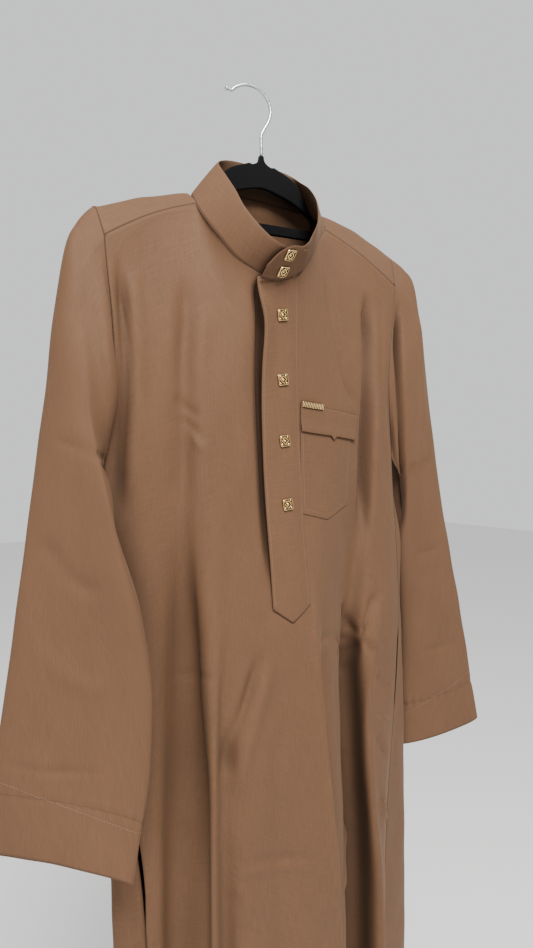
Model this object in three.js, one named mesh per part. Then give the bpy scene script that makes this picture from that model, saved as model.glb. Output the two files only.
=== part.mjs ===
// A thobe, an ankle-length shirt dress, hanging from its stand collar and shoulders on a slim hanger.
// Millimetres. +X is to the wearer's left, +Y is behind the back, +Z is up.
// The origin is the underside of the hook's wire, where the hook bears on what holds it up.
import * as THREE from 'three';

// ---------------------------------------------------------------- driving dimensions
const CLOTH = 1.2;             // wall of one layer of suiting
const COLLAR_WALL = 2.0;       // stand collar: two layers and an interlining
const SEAM = 0.25;             // each edge stops this far short of its seam line
const COLLAR_SEAM = 0.8;       // the collar's gap at the neckline, where it meets them at an angle
const SLEEVE_SEAM = 0.6;
const LIFT = 0.8;              // a piece that lies on a panel stands this far off it

const UNDERARM_Z = -430;       // where the armholes end and the side seams start
const HEM_Z = -1580;           // lower edge of front and back
const BACK_SEAM_Z = -210;      // seam between the back yoke and the back
const CENTRE_X = 7;            // centre line of shoulders and hanger
const TILT = 0.044;            // the hanger leans this much, wearer's left side higher

const PLACKET_WIDTH = 48;
const PLACKET_END_Z = -592;    // where the placket's point starts
const PLACKET_POINT = 17;      // length of that point
const PLACKET_WALL = 1.6;
const SLIT_GAP = 0.8;          // the slit under the placket
const BUTTON_SIZE = 12.4;
const BUTTON_WALL = 2.2;
const BUTTON_LIFT = 0.8;
const BUTTON_Z = [-273, -341, -410, -478];
const COLLAR_BUTTONS = [0.25, 0.75]; // their places up the collar's height

const BEARING = new THREE.Vector3(-7.7, 2.2, 0); // where the hook bears, in the garment's own frame
const HOOK_TURN = THREE.MathUtils.degToRad(-16); // the hook's plane, about Z
const HOOK_RADIUS = 27;        // wire's centre line
const WIRE = 3.8;              // wire diameter
const HANGER_WALL = 6;
const HANGER_Y = -2;           // middle of the board
const NECK_SIDE = 86.5;        // the neckline's half width at the crest
const ARM_END = 190;           // where an arm's end starts to round off
const BALL_RADIUS = 2.6;

// Grid counts: columns over one shoulder, rows down an armhole and, along each column of the
// yoke, the places of its rows.
const SHOULDER_COLS = 8;
const ARMHOLE_ROWS = 8;
const YOKE_PLACES = [0, 0.125, 0.25, 0.5, 0.625, 0.75, 1];
const YOKE_ROWS = YOKE_PLACES.length - 1;
// Heights of the rows of front and back below the underarm.
const BODY_Z = [-505, -580, -650, -707, -765, -850, -930, -1020, -1120, -1230, -1350, -1470, HEM_Z];
const REFERENCE_Z = -900;      // the columns are spaced evenly along the section at this height

// ---------------------------------------------------------------- tables
// Folds of the front, from the wearer's right side seam to the left one: x and y of the same
// fold line at each height of FRONT_LEVELS.
const FRONT_LEVELS = [-235, -330, UNDERARM_Z, -650, -900, HEM_Z];
const FRONT_FOLDS = [
  // fold line            at -235     at -330     at -430     at -650     at -900    at the hem
  ['right edge', /*   */ [-192, -31, -191, -35, -198, -18, -190, -8, -152, -12, -150, -12]],
  ['right side', /*   */ [-155, -36, -156, -41, -164, -36, -156, -27, -138, -18, -134, -20]],
  ['right trough', /* */ [-120, -43, -118, -46, -121, -44, -124, -32, -122, -18, -114, -14]],
  ['right rise', /*   */ [-105, -49, -104, -51, -106, -51, -110, -54, -113, -56, -104, -60]],
  ['right ridge', /*  */ [-88, -56, -86, -57, -88, -58, -96, -66, -101, -71, -92, -78]],
  ['thin trough', /*  */ [-66, -66, -64, -61, -66, -60, -76, -66, -82, -63, -72, -66]],
  ['panel edge', /*   */ [-42, -69, -44, -61, -44, -60, -50, -72, -60, -76, -50, -86]],
  ['centre', /*       */ [-8, -72, -4, -67, -2, -66, -2, -77, -5, -83, 0, -95]],
  ['sharp ridge', /*  */ [35, -66, 36, -62, 34, -63, 34, -78, 50, -85, 76, -98]],
  ['left slope', /*   */ [75, -54, 80, -54, 80, -55, 78, -53, 90, -53, 114, -60]],
  ['left trough', /*  */ [112, -46, 134, -40, 137, -38, 118, -27, 127, -23, 152, -20]],
  ['left ridge', /*   */ [140, -41, 158, -38, 160, -39, 136, -45, 147, -50, 178, -62]],
  ['left side', /*    */ [170, -36, 172, -35, 184, -32, 176, -42, 170, -43, 184, -50]],
  ['left edge', /*    */ [192, -31, 184, -33, 207, -16, 216, -22, 190, -28, 175, -30]],
];
// Folds of the back, in the same order and form, round both sides to the same side seams.
const BACK_LEVELS = [BACK_SEAM_Z, -330, UNDERARM_Z, -650, -900, HEM_Z];
const BACK_FOLDS = [
  ['right edge', /*   */ [-198, 4, -190, 6, -198, -18, -190, -8, -152, -12, -150, -12]],
  ['right wrap', /*   */ [-184, 12, -181, 12, -198, -6, -197, 0, -172, -9, -172, -9]],
  ['right side', /*   */ [-165, 17, -163, 17, -186, 7, -192, 9, -181, 3, -183, 5]],
  ['right corner', /* */ [-130, 20, -130, 20, -160, 16, -172, 17, -167, 16, -170, 20]],
  ['right ridge', /*  */ [-90, 21, -90, 22, -112, 20, -140, 20, -136, 20, -143, 27]],
  ['right trough', /* */ [-50, 21, -52, 20, -64, 14, -90, 7, -98, 3, -101, 0]],
  ['mid ridge', /*    */ [-15, 21, -15, 21, -25, 18, -50, 19, -54, 20, -56, 29]],
  ['centre', /*       */ [15, 21, 18, 22, 15, 21, 4, 21, 6, 20, 4, 27]],
  ['left swell', /*   */ [58, 21, 60, 22, 60, 20, 55, 20, 54, 20, 60, 29]],
  ['left trough', /*  */ [100, 21, 100, 20, 100, 15, 92, 8, 90, 3, 100, 1]],
  ['left ridge', /*   */ [140, 20, 140, 20, 150, 18, 142, 19, 146, 20, 156, 27]],
  ['left corner', /*  */ [178, 17, 174, 17, 194, 10, 212, 13, 210, 16, 216, 21]],
  ['left wrap', /*    */ [201, 12, 190, 12, 207, -4, 236, -4, 248, -2, 255, 4]],
  ['left edge', /*    */ [212, 4, 196, 6, 207, -16, 216, -22, 190, -28, 175, -30]],
];
// Stand collar and neckline, from the front end that lies underneath, round the wearer's right
// side, the back and the left side to the front: the seam below and the free edge above.
const COLLAR = [
  // seam x, y, z        edge x, y, z
  [[4, -71.5, -232], /*   */ [3, -98, -207]],     // 0 the end underneath
  [[-20, -73, -236], /*   */ [-18, -101, -212]],
  [[-47, -73, -231], /*   */ [-40, -101, -207]],
  [[-68, -68, -218], /*   */ [-54, -94, -194]],
  [[-83, -55, -194], /*   */ [-65, -77, -169]],
  [[-90, -38, -172], /*   */ [-64, -58, -146]],
  [[-91, -24, -156], /*   */ [-62, -38, -126]],   // 6 the right shoulder seam
  [[-86, -6, -139], /*    */ [-57, -12, -102]],
  [[-68, 8, -129], /*     */ [-42, 3, -91]],
  [[-35, 15, -123], /*    */ [-22, 14, -84]],
  [[5, 18, -121], /*      */ [8, 19, -81]],       // 10 the middle of the back
  [[45, 15, -123], /*     */ [44, 17, -80]],
  [[72, 8, -127], /*      */ [60, 9, -86]],
  [[84, -5, -133], /*     */ [62, -8, -98]],
  [[84, -20, -145], /*    */ [54, -33, -113]],
  [[76, -34, -157], /*    */ [46, -54, -130]],    // 15 the left shoulder seam
  [[57, -49, -174], /*    */ [36, -72, -147]],
  [[36, -63, -199], /*    */ [22, -90, -173]],
  [[16, -70, -221], /*    */ [5, -97, -198]],     // 18 where the outer end leaves the seam
];
const NECK_RIGHT = 6;
const NECK_LEFT = 15;
// The outer end of the collar, which lies over the other end and is buttoned to it.
const COLLAR_OVER = [
  [[-4, -76.5, -231.5], /* */ [-7, -102, -209]],
  [[-22, -78, -237.5], /*  */ [-21, -104, -215]],
  [[-38, -78, -239], /*    */ [-35, -101, -222]],
  [[-45, -77.5, -238.5], /**/ [-44, -89, -231]],
];
// Sleeves: the outer fold and the inner one at each section, and how far front and back bulge.
// Fields: outer x, y, z, inner x, y, z, front bulge, back bulge.
const SLEEVE_RIGHT = [
  [-199, -1, -168, -198, -18, -430, 28, 14],
  [-216, -6, -192, -206, -22, -446, 24, 12],
  [-230, -9, -222, -206, -38, -476, 23, 11],
  [-242, -9, -290, -190, -55, -525, 22, 11],
  [-254, -5, -398, -177, -63, -578, 19, 11],
  [-270, 0, -518, -167, -66, -652, 15, 11],
  [-286, 4, -638, -171, -69, -729, 13, 11],
  [-299, 6, -725, -181, -72, -784, 12, 10],
  [-310, 7, -806, -192, -75, -836, 11, 10],
];
const SLEEVE_LEFT = [
  [212, -1, -160, 207, -16, -430, 28, 14],
  [232, -6, -176, 214, -14, -448, 26, 16],
  [248, -10, -200, 224, -10, -478, 25, 18],
  [265, -13, -290, 234, -6, -525, 22, 18],
  [284, -16, -400, 243, 0, -588, 18, 16],
  [306, -20, -520, 250, 4, -660, 14, 13],
  [333, -25, -640, 254, 7, -735, 12, 11],
  [350, -29, -725, 255, 9, -785, 11, 10],
  [366, -32, -804, 254, 10, -830, 11, 10],
];
// Crest of the shoulders by distance from the centre line.
const CREST = { r: [88, 110, 140, 170, 192, 206], z: [-134, -137.5, -145.5, -152.5, -158.5, -166] };
// Upper and lower edge of one arm of the hanger by distance from its stem.
const ARM = {
  r: [0, 27, 43, 52, 60, 68, 77, 92, 110, 140, 165, 190],
  top: [-84, -91.5, -98, -105, -116, -130, -143.6, -145.3, -145.5, -151.5, -159, -166.5],
  foot: [-115, -120, -125, -129, -133, -138, -144, -150, -155, -164, -170, -175],
};
const BAR = { top: -155, hole: 99, end: 150 };
// Half outline of the hanger's neck: distance from the stem and height.
const NECK = [[2.6, -77.5], [3.2, -82], [8, -86.5], [13, -88.5]];
// The hook's stem and tip in its own plane: distance from the garment's middle and height.
const HOOK_STEM = [[7.7, -77.2], [7.7, -64], [7.7, -54], [10.5, -47], [16, -37.5]];
const HOOK_TIP = [[-28.2, -7], [-31, -6.4]];
// What lies on the chest: x of its two sides above and below, z of its upper edge at each side
// and of its lower edge at each side, and how far its point hangs lower.
const POCKET = { topX: [21, 110], footX: [21, 103], top: [-372, -381], foot: [-490, -485], point: 12 };
const POCKET_BAND = { topX: [21, 123], footX: [21, 115], top: [-367, -377], foot: [-398, -407], point: 0 };
const POCKET_TRIM = { topX: [22, 56], footX: [21, 53], top: [-364.5, -367], foot: [-370.5, -373], point: 0 };
const PLACKET = {
  z: [-241, -412, PLACKET_END_Z],
  x: [-15, -8, -1.5],          // its centre line at those heights
};

// ---------------------------------------------------------------- helpers
const V = (x, y, z) => new THREE.Vector3(x, y, z);
const lerp = THREE.MathUtils.lerp;
const smooth = (a, b, x) => THREE.MathUtils.smoothstep(x, a, b);

// Cubic through the rows of a table: tangents are the mean slopes at each row.
function through(xs, ys, x) {
  const down = xs[1] < xs[0];
  let k = 0;
  while (k < xs.length - 2 && (down ? x < xs[k + 1] : x > xs[k + 1])) k++;
  const h = xs[k + 1] - xs[k];
  const t = THREE.MathUtils.clamp((x - xs[k]) / h, 0, 1);
  const slope = i => (ys[i + 1] - ys[i]) / (xs[i + 1] - xs[i]);
  const tangent = i => (i === 0 ? slope(0) : i === xs.length - 1 ? slope(i - 1) : (slope(i - 1) + slope(i)) / 2);
  const t2 = t * t;
  const t3 = t2 * t;
  return (2 * t3 - 3 * t2 + 1) * ys[k] + (t3 - 2 * t2 + t) * h * tangent(k)
    + (3 * t2 - 2 * t3) * ys[k + 1] + (t3 - t2) * h * tangent(k + 1);
}

const curve = points => new THREE.CatmullRomCurve3(points, false, 'centripetal');

// The section of a panel at height z, as a curve through its fold lines.
function section(folds, levels, z) {
  const zc = THREE.MathUtils.clamp(z, levels[levels.length - 1], levels[0]);
  return curve(folds.map(([, row]) => V(
    through(levels, levels.map((_, k) => row[2 * k]), zc),
    through(levels, levels.map((_, k) => row[2 * k + 1]), zc),
    z)));
}

// Where along a section, from 0 to 1 by its fold lines, it reaches x.
function placeAtX(sect, x) {
  let low = 0;
  let high = 1;
  for (let n = 0; n < 24; n++) {
    const mid = (low + high) / 2;
    if (sect.getPoint(mid).x < x) low = mid;
    else high = mid;
  }
  return (low + high) / 2;
}

// Unit normals of a grid of points, side = 1 along du x dv or -1 against it.
function gridNormals(grid, side, around) {
  const cols = grid[0].length;
  return grid.map((row, j) => row.map((_, i) => {
    const wrap = k => (around ? (k + cols) % cols : THREE.MathUtils.clamp(k, 0, cols - 1));
    const du = V().subVectors(row[wrap(i + 1)], row[wrap(i - 1)]);
    const up = grid[Math.max(j - 1, 0)][i];
    const dv = V().subVectors(grid[Math.min(j + 1, grid.length - 1)][i], up);
    return V().crossVectors(du, dv).normalize().multiplyScalar(side);
  }));
}

// A closed wall under a grid of outer points. Its edges stop SEAM short of the grid's edges,
// and seamNormal, where given, mitres an edge against the next panel. Cells that skip returns
// true for are left open.
function wall(grid, side, thick, { around = false, skip = () => false, seamNormal, trim = SEAM } = {}) {
  const rows = grid.length;
  const cols = grid[0].length;
  const normals = gridNormals(grid, side, around);
  const outer = grid.map(row => row.map(p => p.clone()));
  const pull = (p, q) => p.add(V().subVectors(q, p).setLength(trim));
  for (let i = 0; i < cols; i++) {
    pull(outer[0][i], grid[1][i]);
    pull(outer[rows - 1][i], grid[rows - 2][i]);
  }
  if (!around) {
    for (let j = 0; j < rows; j++) {
      pull(outer[j][0], grid[j][1]);
      pull(outer[j][cols - 1], grid[j][cols - 2]);
    }
  }
  const inner = outer.map((row, j) => row.map((p, i) => {
    const n = (seamNormal && seamNormal(i, j, grid[j][i])) || normals[j][i];
    return p.clone().addScaledVector(n, -thick / Math.max(n.dot(normals[j][i]), 0.5));
  }));
  const positions = [...outer.flat(), ...inner.flat()].flatMap(p => [p.x, p.y, p.z]);
  const id = (i, j, layer) => layer * rows * cols + j * cols + (i % cols);
  const faces = [];
  const quad = (a, b, c, d) => faces.push(...(side > 0 ? [a, b, c, a, c, d] : [a, c, b, a, d, c]));
  const spanCols = around ? cols : cols - 1;
  const kept = (i, j) => j >= 0 && j < rows - 1 && (around || (i >= 0 && i < spanCols))
    && !skip((i + spanCols) % spanCols, j);
  for (let j = 0; j < rows - 1; j++) {
    for (let i = 0; i < spanCols; i++) {
      if (!kept(i, j)) continue;
      quad(id(i, j, 0), id(i + 1, j, 0), id(i + 1, j + 1, 0), id(i, j + 1, 0));
      quad(id(i, j, 1), id(i, j + 1, 1), id(i + 1, j + 1, 1), id(i + 1, j, 1));
      if (!kept(i, j - 1)) quad(id(i, j, 1), id(i + 1, j, 1), id(i + 1, j, 0), id(i, j, 0));
      if (!kept(i, j + 1)) quad(id(i, j + 1, 0), id(i + 1, j + 1, 0), id(i + 1, j + 1, 1), id(i, j + 1, 1));
      if (!kept(i - 1, j)) quad(id(i, j, 1), id(i, j, 0), id(i, j + 1, 0), id(i, j + 1, 1));
      if (!kept(i + 1, j)) quad(id(i + 1, j, 0), id(i + 1, j, 1), id(i + 1, j + 1, 1), id(i + 1, j + 1, 0));
    }
  }
  return meshFrom(positions, faces);
}

// A geometry from positions and faces, without the points that no face uses.
function meshFrom(positions, faces) {
  const used = [...new Set(faces)];
  const place = new Map(used.map((old, k) => [old, k]));
  const geometry = new THREE.BufferGeometry();
  const kept = used.flatMap(k => positions.slice(3 * k, 3 * k + 3));
  geometry.setAttribute('position', new THREE.Float32BufferAttribute(kept, 3));
  geometry.setIndex(faces.map(k => place.get(k)));
  return geometry;
}

// ---------------------------------------------------------------- materials
const cloth = new THREE.MeshStandardMaterial({ color: '#8a684d', roughness: 0.75, metalness: 0 });
const gold = new THREE.MeshStandardMaterial({ color: '#d9b070', roughness: 0.28, metalness: 1 });
const velvet = new THREE.MeshStandardMaterial({ color: '#0c0c0e', roughness: 0.95, metalness: 0 });
const chrome = new THREE.MeshStandardMaterial({ color: '#b9bcbe', roughness: 0.18, metalness: 1 });

const garment = new THREE.Group();
garment.position.copy(BEARING).negate();
function add(name, geometry, material = cloth) {
  const piece = new THREE.Mesh(geometry, material);
  piece.name = name;
  garment.add(piece);
  return piece;
}

// ---------------------------------------------------------------- seam lines
const seamCurve = curve(COLLAR.map(row => V(...row[0])));
const edgeCurve = curve(COLLAR.map(row => V(...row[1])));
const STATIONS = COLLAR.length - 1;
const neckSeam = s => seamCurve.getPoint(s / STATIONS);
const neckEdge = s => edgeCurve.getPoint(s / STATIONS);
const tilted = x => TILT * (x - CENTRE_X);
const crestZ = x => through(CREST.r, CREST.z, Math.abs(x - CENTRE_X)) + tilted(x);

// Seam between front and yoke, from the armhole (share 0) to the collar (share 1).
const FRONT_CORNER = { right: V(-198, -30, -209), left: V(198, -30, -208) };
function frontSeam(side, share) {
  const neck = neckSeam(side === 'right' ? NECK_RIGHT : NECK_LEFT);
  const p = FRONT_CORNER[side].clone().lerp(neck, share);
  p.z += 5 * Math.sin(Math.PI * share);
  return p;
}
const shoulderRight = Array.from({ length: SHOULDER_COLS }, (_, i) => frontSeam('right', i / SHOULDER_COLS));
const shoulderLeft = Array.from({ length: SHOULDER_COLS }, (_, i) => frontSeam('left', 1 - (i + 1) / SHOULDER_COLS));

// Points of the neckline between two stations of the collar, half a station apart.
function neckline(from, to) {
  const count = 2 * Math.abs(to - from);
  return Array.from({ length: count + 1 }, (_, k) => neckSeam(lerp(from, to, k / count)));
}

// The front's upper edge: shoulder seam, neckline with the slit in it, shoulder seam.
const neckRightFront = neckline(NECK_RIGHT, 0);
const slitPoint = neckRightFront[neckRightFront.length - 1];
const SLIT_COL = SHOULDER_COLS + neckRightFront.length - 1;
const topEdge = [
  ...shoulderRight,
  ...neckRightFront,
  slitPoint.clone().add(V(SLIT_GAP, 0, 0)),
  ...neckline(STATIONS, NECK_LEFT),
  ...shoulderLeft,
];

// ---------------------------------------------------------------- front and back
// Even places along the reference section. A slit's two columns lie side by side.
function evenPlaces(folds, levels, cols, slit) {
  const reference = section(folds, levels, REFERENCE_Z);
  const steps = slit === undefined ? cols - 1 : cols - 2;
  const places = Array.from({ length: steps + 1 }, (_, i) => reference.getUtoTmapping(i / steps));
  if (slit !== undefined) places.splice(slit + 1, 0, places[slit] + 0.002);
  return places;
}

// A panel's grid: each column leaves its point on the upper edge and slides to its own place
// among the fold lines by the underarm.
function panelGrid(top, folds, levels, slit) {
  const places = evenPlaces(folds, levels, top.length, slit);
  const first = top.map(p => placeAtX(section(folds, levels, p.z), p.x));
  const miss = top.map((p, i) => V().subVectors(p, section(folds, levels, p.z).getPoint(first[i])));
  const grid = [];
  for (let j = 0; j <= ARMHOLE_ROWS; j++) {
    const v = j / ARMHOLE_ROWS;
    grid.push(top.map((p, i) => {
      const place = lerp(first[i], places[i], smooth(0, 1, v));
      const sect = section(folds, levels, lerp(p.z, UNDERARM_Z, v));
      return sect.getPoint(place).addScaledVector(miss[i], (1 - v) ** 3);
    }));
  }
  for (const z of BODY_Z) {
    const sect = section(folds, levels, z);
    grid.push(places.map(place => sect.getPoint(place)));
  }
  return grid;
}

// A side pocket's lips stand apart: there the front's edge is drawn in.
const SIDE_POCKETS = { right: [-765, -930], left: [-650, -765] };
function pocketLip([top, foot], z) {
  const share = (top - z) / (top - foot);
  return share <= 0 || share >= 1 ? 0 : 4 * Math.sin(Math.PI * share);
}
const frontGrid = panelGrid(topEdge, FRONT_FOLDS, FRONT_LEVELS, SLIT_COL);

// The yoke starts at the front's shoulder seams and at the neckline, and ends at the back's edge.
const yokeStarts = [...shoulderRight, ...neckline(NECK_RIGHT, NECK_LEFT), ...shoulderLeft];
const backTopSection = section(BACK_FOLDS, BACK_LEVELS, BACK_SEAM_Z);
const ARMHOLE_TOP = { right: V(-199, -1, -168), left: V(212, -1, -160) };
const atX = (sect, x) => sect.getPoint(placeAtX(sect, x));

// Where each column crosses the crest: the neckline's beside the neck where they start in front of
// it, and the shoulder seam's spread evenly from there to the armhole.
const besideNeck = ({ x, y }) => Math.sign(x) * (NECK_SIDE + 0.3 * Math.max(-3 - y, 0));
const crownXs = yokeStarts.map((start, i) => {
  const last = yokeStarts.length - 1;
  const fromSide = Math.min(i, last - i);
  if (fromSide >= SHOULDER_COLS) return lerp(besideNeck(start), start.x, smooth(-6, 6, start.y));
  const [side, neck] = i < SHOULDER_COLS ? ['right', SHOULDER_COLS] : ['left', last - SHOULDER_COLS];
  return lerp(FRONT_CORNER[side].x, besideNeck(yokeStarts[neck]), fromSide / SHOULDER_COLS);
});

// One column of the yoke: over the crest from the shoulder seam, or down from the back neckline.
function yokeColumn(start, crownX, share) {
  const overBack = smooth(-24, 12, start.y);
  const atArmhole = 1 - smooth(0, 0.12, Math.min(share, 1 - share));
  const top = share < 0.5 ? ARMHOLE_TOP.right : ARMHOLE_TOP.left;
  const x = lerp(crownX, top.x, atArmhole);
  const crest = lerp(crestZ(x), top.z, atArmhole);
  const crownZ = lerp(crest, start.z - 14, overBack);
  const crownFront = V(x, lerp(HANGER_Y - 4, 17, overBack), crownZ - 1);
  const crownBack = V(x, lerp(HANGER_Y + 4, 19.5, overBack), crownZ - lerp(0.5, 12, overBack));
  const fall = V(x, lerp(lerp(17, 10, atArmhole), 20.5, overBack), lerp(crownZ - 20, BACK_SEAM_Z, 0.25));
  const columnCurve = curve([start, crownFront, crownBack, fall, atX(backTopSection, x)]);
  return YOKE_PLACES.map(place => columnCurve.getPoint(place));
}
const yokeColumns = yokeStarts.map((p, i) => yokeColumn(p, crownXs[i], i / (yokeStarts.length - 1)));
const yokeGrid = Array.from({ length: YOKE_ROWS + 1 }, (_, j) => yokeColumns.map(column => column[j]));
const backGrid = panelGrid(yokeGrid[YOKE_ROWS], BACK_FOLDS, BACK_LEVELS);

// Below the underarm the back's sides are brought to the front's edges, which then stand back at
// the pockets.
for (let j = ARMHOLE_ROWS; j < frontGrid.length; j++) {
  const [front, back] = [frontGrid[j], backGrid[j]];
  const last = front.length - 1;
  const missRight = V().subVectors(front[0], back[0]);
  const missLeft = V().subVectors(front[last], back[back.length - 1]);
  back.forEach((p, i) => {
    const share = i / (back.length - 1);
    p.addScaledVector(missRight, 1 - smooth(0, 0.3, share)).addScaledVector(missLeft, smooth(0.7, 1, share));
  });
  front[0].x += pocketLip(SIDE_POCKETS.right, front[0].z);
  front[last].x -= pocketLip(SIDE_POCKETS.left, front[last].z);
}

// ---------------------------------------------------------------- sleeves
// The armhole's loop, from the underarm up the front, over the yoke and down the back. Each
// entry names the panel and its row, so that its neighbours can share points and normals.
const LOOP = [
  ...Array.from({ length: ARMHOLE_ROWS + 1 }, (_, k) => ['front', ARMHOLE_ROWS - k]),
  ...Array.from({ length: YOKE_ROWS - 1 }, (_, k) => ['yoke', k + 1]),
  ...Array.from({ length: ARMHOLE_ROWS }, (_, k) => ['back', k]),
];
const panels = { front: frontGrid, yoke: yokeGrid, back: backGrid };
const edgeCol = (grid, side) => (side === 'right' ? 0 : grid[0].length - 1);
const armhole = side => LOOP.map(([panel, j]) => panels[panel][j][edgeCol(panels[panel], side)]);
const CROWN = ARMHOLE_ROWS + YOKE_ROWS / 2; // the loop's place on the crest

// One section of a sleeve: its front from the inner fold to the outer one, then its back.
function sleeveSection([ox, oy, oz, ix, iy, iz, front, back], facing) {
  const outer = V(ox, oy, oz);
  const inner = V(ix, iy, iz);
  return LOOP.map((_, i) => {
    const inFront = i <= CROWN;
    const share = inFront ? i / CROWN : (LOOP.length - i) / (LOOP.length - CROWN);
    const across = 0.5 - 0.5 * Math.cos(Math.PI * share);
    const bulge = (inFront ? front : -back) * Math.sin(Math.PI * share) ** 0.8;
    return V().lerpVectors(inner, outer, across).addScaledVector(facing, bulge);
  });
}

// How far the front of each cuff rises between its folds.
const CUFF_RISE = { right: 12, left: -3 };
const SLEEVE_STEPS = [0, 0.35, 0.8, 1.4, 2.1, 2.8, 3.6, 4.4, 5.2, 6, 6.8, 7.4, 8];
function sleeveGrid(table, side) {
  const loop = armhole(side);
  const rows = table.map((_, k) => k);
  const field = (s, f) => through(rows, table.map(row => row[f]), s);
  const [ox, oy, , ix, iy] = table[table.length - 1];
  const cuffFacing = V(oy - iy, ix - ox, 0).normalize();
  if (cuffFacing.y > 0) cuffFacing.negate();
  const model = s => {
    const facing = V(0, -1, 0).lerp(cuffFacing, smooth(0, 5, s)).normalize();
    return sleeveSection(table[0].map((_, f) => field(s, f)), facing);
  };
  const miss = model(0).map((p, i) => V().subVectors(loop[i], p));
  return SLEEVE_STEPS.map(s => {
    const hold = Math.max(0, 1 - s / 2.2) ** 2;
    const rise = CUFF_RISE[side] * smooth(6.4, 8, s);
    return model(s).map((p, i) => {
      const inFront = i < CROWN ? Math.sin(Math.PI * i / CROWN) : 0;
      p.z += rise * inFront;
      return p.addScaledVector(miss[i], hold);
    });
  });
}
const sleeveGrids = { right: sleeveGrid(SLEEVE_RIGHT, 'right'), left: sleeveGrid(SLEEVE_LEFT, 'left') };

// ---------------------------------------------------------------- cloth walls
// Walls that meet at a seam share the mean of their normals there, so that they meet in a mitre.
const SIDE = { front: -1, back: 1, yoke: 1, right: 1, left: -1, collar: -1 };
const normals = {
  front: gridNormals(frontGrid, SIDE.front),
  back: gridNormals(backGrid, SIDE.back),
  yoke: gridNormals(yokeGrid, SIDE.yoke),
  right: gridNormals(sleeveGrids.right, SIDE.right, true),
  left: gridNormals(sleeveGrids.left, SIDE.left, true),
};
const mean = (a, b) => V().addVectors(a, b).normalize();
const sideOf = (i, grid) => (i === 0 ? 'right' : i === grid[0].length - 1 ? 'left' : undefined);
const loopPlace = (panel, j) => LOOP.findIndex(([name, row]) => name === panel && row === j);
// In a sharp valley the walls lean apart, and each keeps its own normal.
const mitre = (own, other) => (own.dot(other) < 0.3 ? own : mean(own, other));

function panelSeam(panel) {
  const grid = panels[panel];
  return (i, j) => {
    const own = normals[panel][j][i];
    const side = sideOf(i, grid);
    const place = loopPlace(panel, j);
    if (side && place > 0) return mitre(own, normals[side][0][place]);
    if (side && panel === 'front') return mean(own, normals.back[j][edgeCol(backGrid, side)]);
    if (side && panel === 'back') return mean(own, normals.front[j][edgeCol(frontGrid, side)]);
    const fromLeft = grid[0].length - 1 - i;
    const onShoulder = i < SHOULDER_COLS || fromLeft < SHOULDER_COLS;
    if (panel === 'front' && j === 0 && onShoulder) {
      return mean(own, normals.yoke[0][i < SHOULDER_COLS ? i : yokeGrid[0].length - 1 - fromLeft]);
    }
    if (panel === 'yoke' && j === 0 && onShoulder) {
      return mean(own, normals.front[0][i < SHOULDER_COLS ? i : frontGrid[0].length - 1 - fromLeft]);
    }
    if (panel === 'yoke' && j === YOKE_ROWS) return mean(own, normals.back[0][i]);
    if (panel === 'back' && j === 0) return mean(own, normals.yoke[YOKE_ROWS][i]);
    return own;
  };
}
function sleeveSeam(side) {
  return (k, j) => {
    if (j > 0) return normals[side][j][k];
    const [panel, row] = LOOP[k];
    return mitre(normals[side][0][k], normals[panel][row][edgeCol(panels[panel], side)]);
  };
}

const inSlit = (i, j) => i === SLIT_COL && frontGrid[j + 1][i].z > PLACKET_END_Z;
add('front', wall(frontGrid, SIDE.front, CLOTH, { seamNormal: panelSeam('front'), skip: inSlit }));
add('back', wall(backGrid, SIDE.back, CLOTH, { seamNormal: panelSeam('back') }));
add('yoke', wall(yokeGrid, SIDE.yoke, CLOTH, { seamNormal: panelSeam('yoke') }));
for (const side of ['right', 'left']) {
  const options = { around: true, seamNormal: sleeveSeam(side), trim: SLEEVE_SEAM };
  add(`sleeve_${side}`, wall(sleeveGrids[side], SIDE[side], CLOTH, options));
}

// Stand collar: round the neck and on over its own other end.
const COLLAR_ROWS = 3;
const overStart = [neckSeam(STATIONS), neckEdge(STATIONS)];
const overSeam = curve([overStart[0], ...COLLAR_OVER.map(row => V(...row[0]))]);
const overEdge = curve([overStart[1], ...COLLAR_OVER.map(row => V(...row[1]))]);
const collarEnds = [];
for (let s = 0; s <= STATIONS; s += 0.5) collarEnds.push([neckSeam(s), neckEdge(s)]);
for (let k = 1; k <= 8; k++) collarEnds.push([overSeam.getPoint(k / 8), overEdge.getPoint(k / 8)]);
const collarGrid = Array.from({ length: COLLAR_ROWS + 1 }, (_, j) => (
  collarEnds.map(([low, high]) => V().lerpVectors(low, high, j / COLLAR_ROWS))));
add('collar', wall(collarGrid, SIDE.collar, COLLAR_WALL, { trim: COLLAR_SEAM }));

// ---------------------------------------------------------------- what lies on the front
// The front's surface and its normal at x and z, on the flat faces of its wall.
function onFront(x, z) {
  for (let j = 0; j < frontGrid.length - 1; j++) {
    for (let i = 0; i < frontGrid[0].length - 1; i++) {
      const [a, b] = [frontGrid[j][i], frontGrid[j][i + 1]];
      const [c, d] = [frontGrid[j + 1][i + 1], frontGrid[j + 1][i]];
      for (const corners of [[a, b, c], [a, c, d]]) {
        const weights = barycentric(corners, x, z);
        if (Math.min(...weights) < -1e-6) continue;
        const point = V();
        corners.forEach((corner, k) => point.addScaledVector(corner, weights[k]));
        const normal = normals.front[j][i].clone().lerp(normals.front[j + 1][i + 1], 0.5).normalize();
        return { point, normal };
      }
    }
  }
  throw new Error(`nothing of the front at ${x}, ${z}`);
}
function barycentric([a, b, c], x, z) {
  const area = (b.x - a.x) * (c.z - a.z) - (c.x - a.x) * (b.z - a.z);
  const v = ((x - a.x) * (c.z - a.z) - (c.x - a.x) * (z - a.z)) / area;
  const w = ((b.x - a.x) * (z - a.z) - (x - a.x) * (b.z - a.z)) / area;
  return [1 - v - w, v, w];
}

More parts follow.
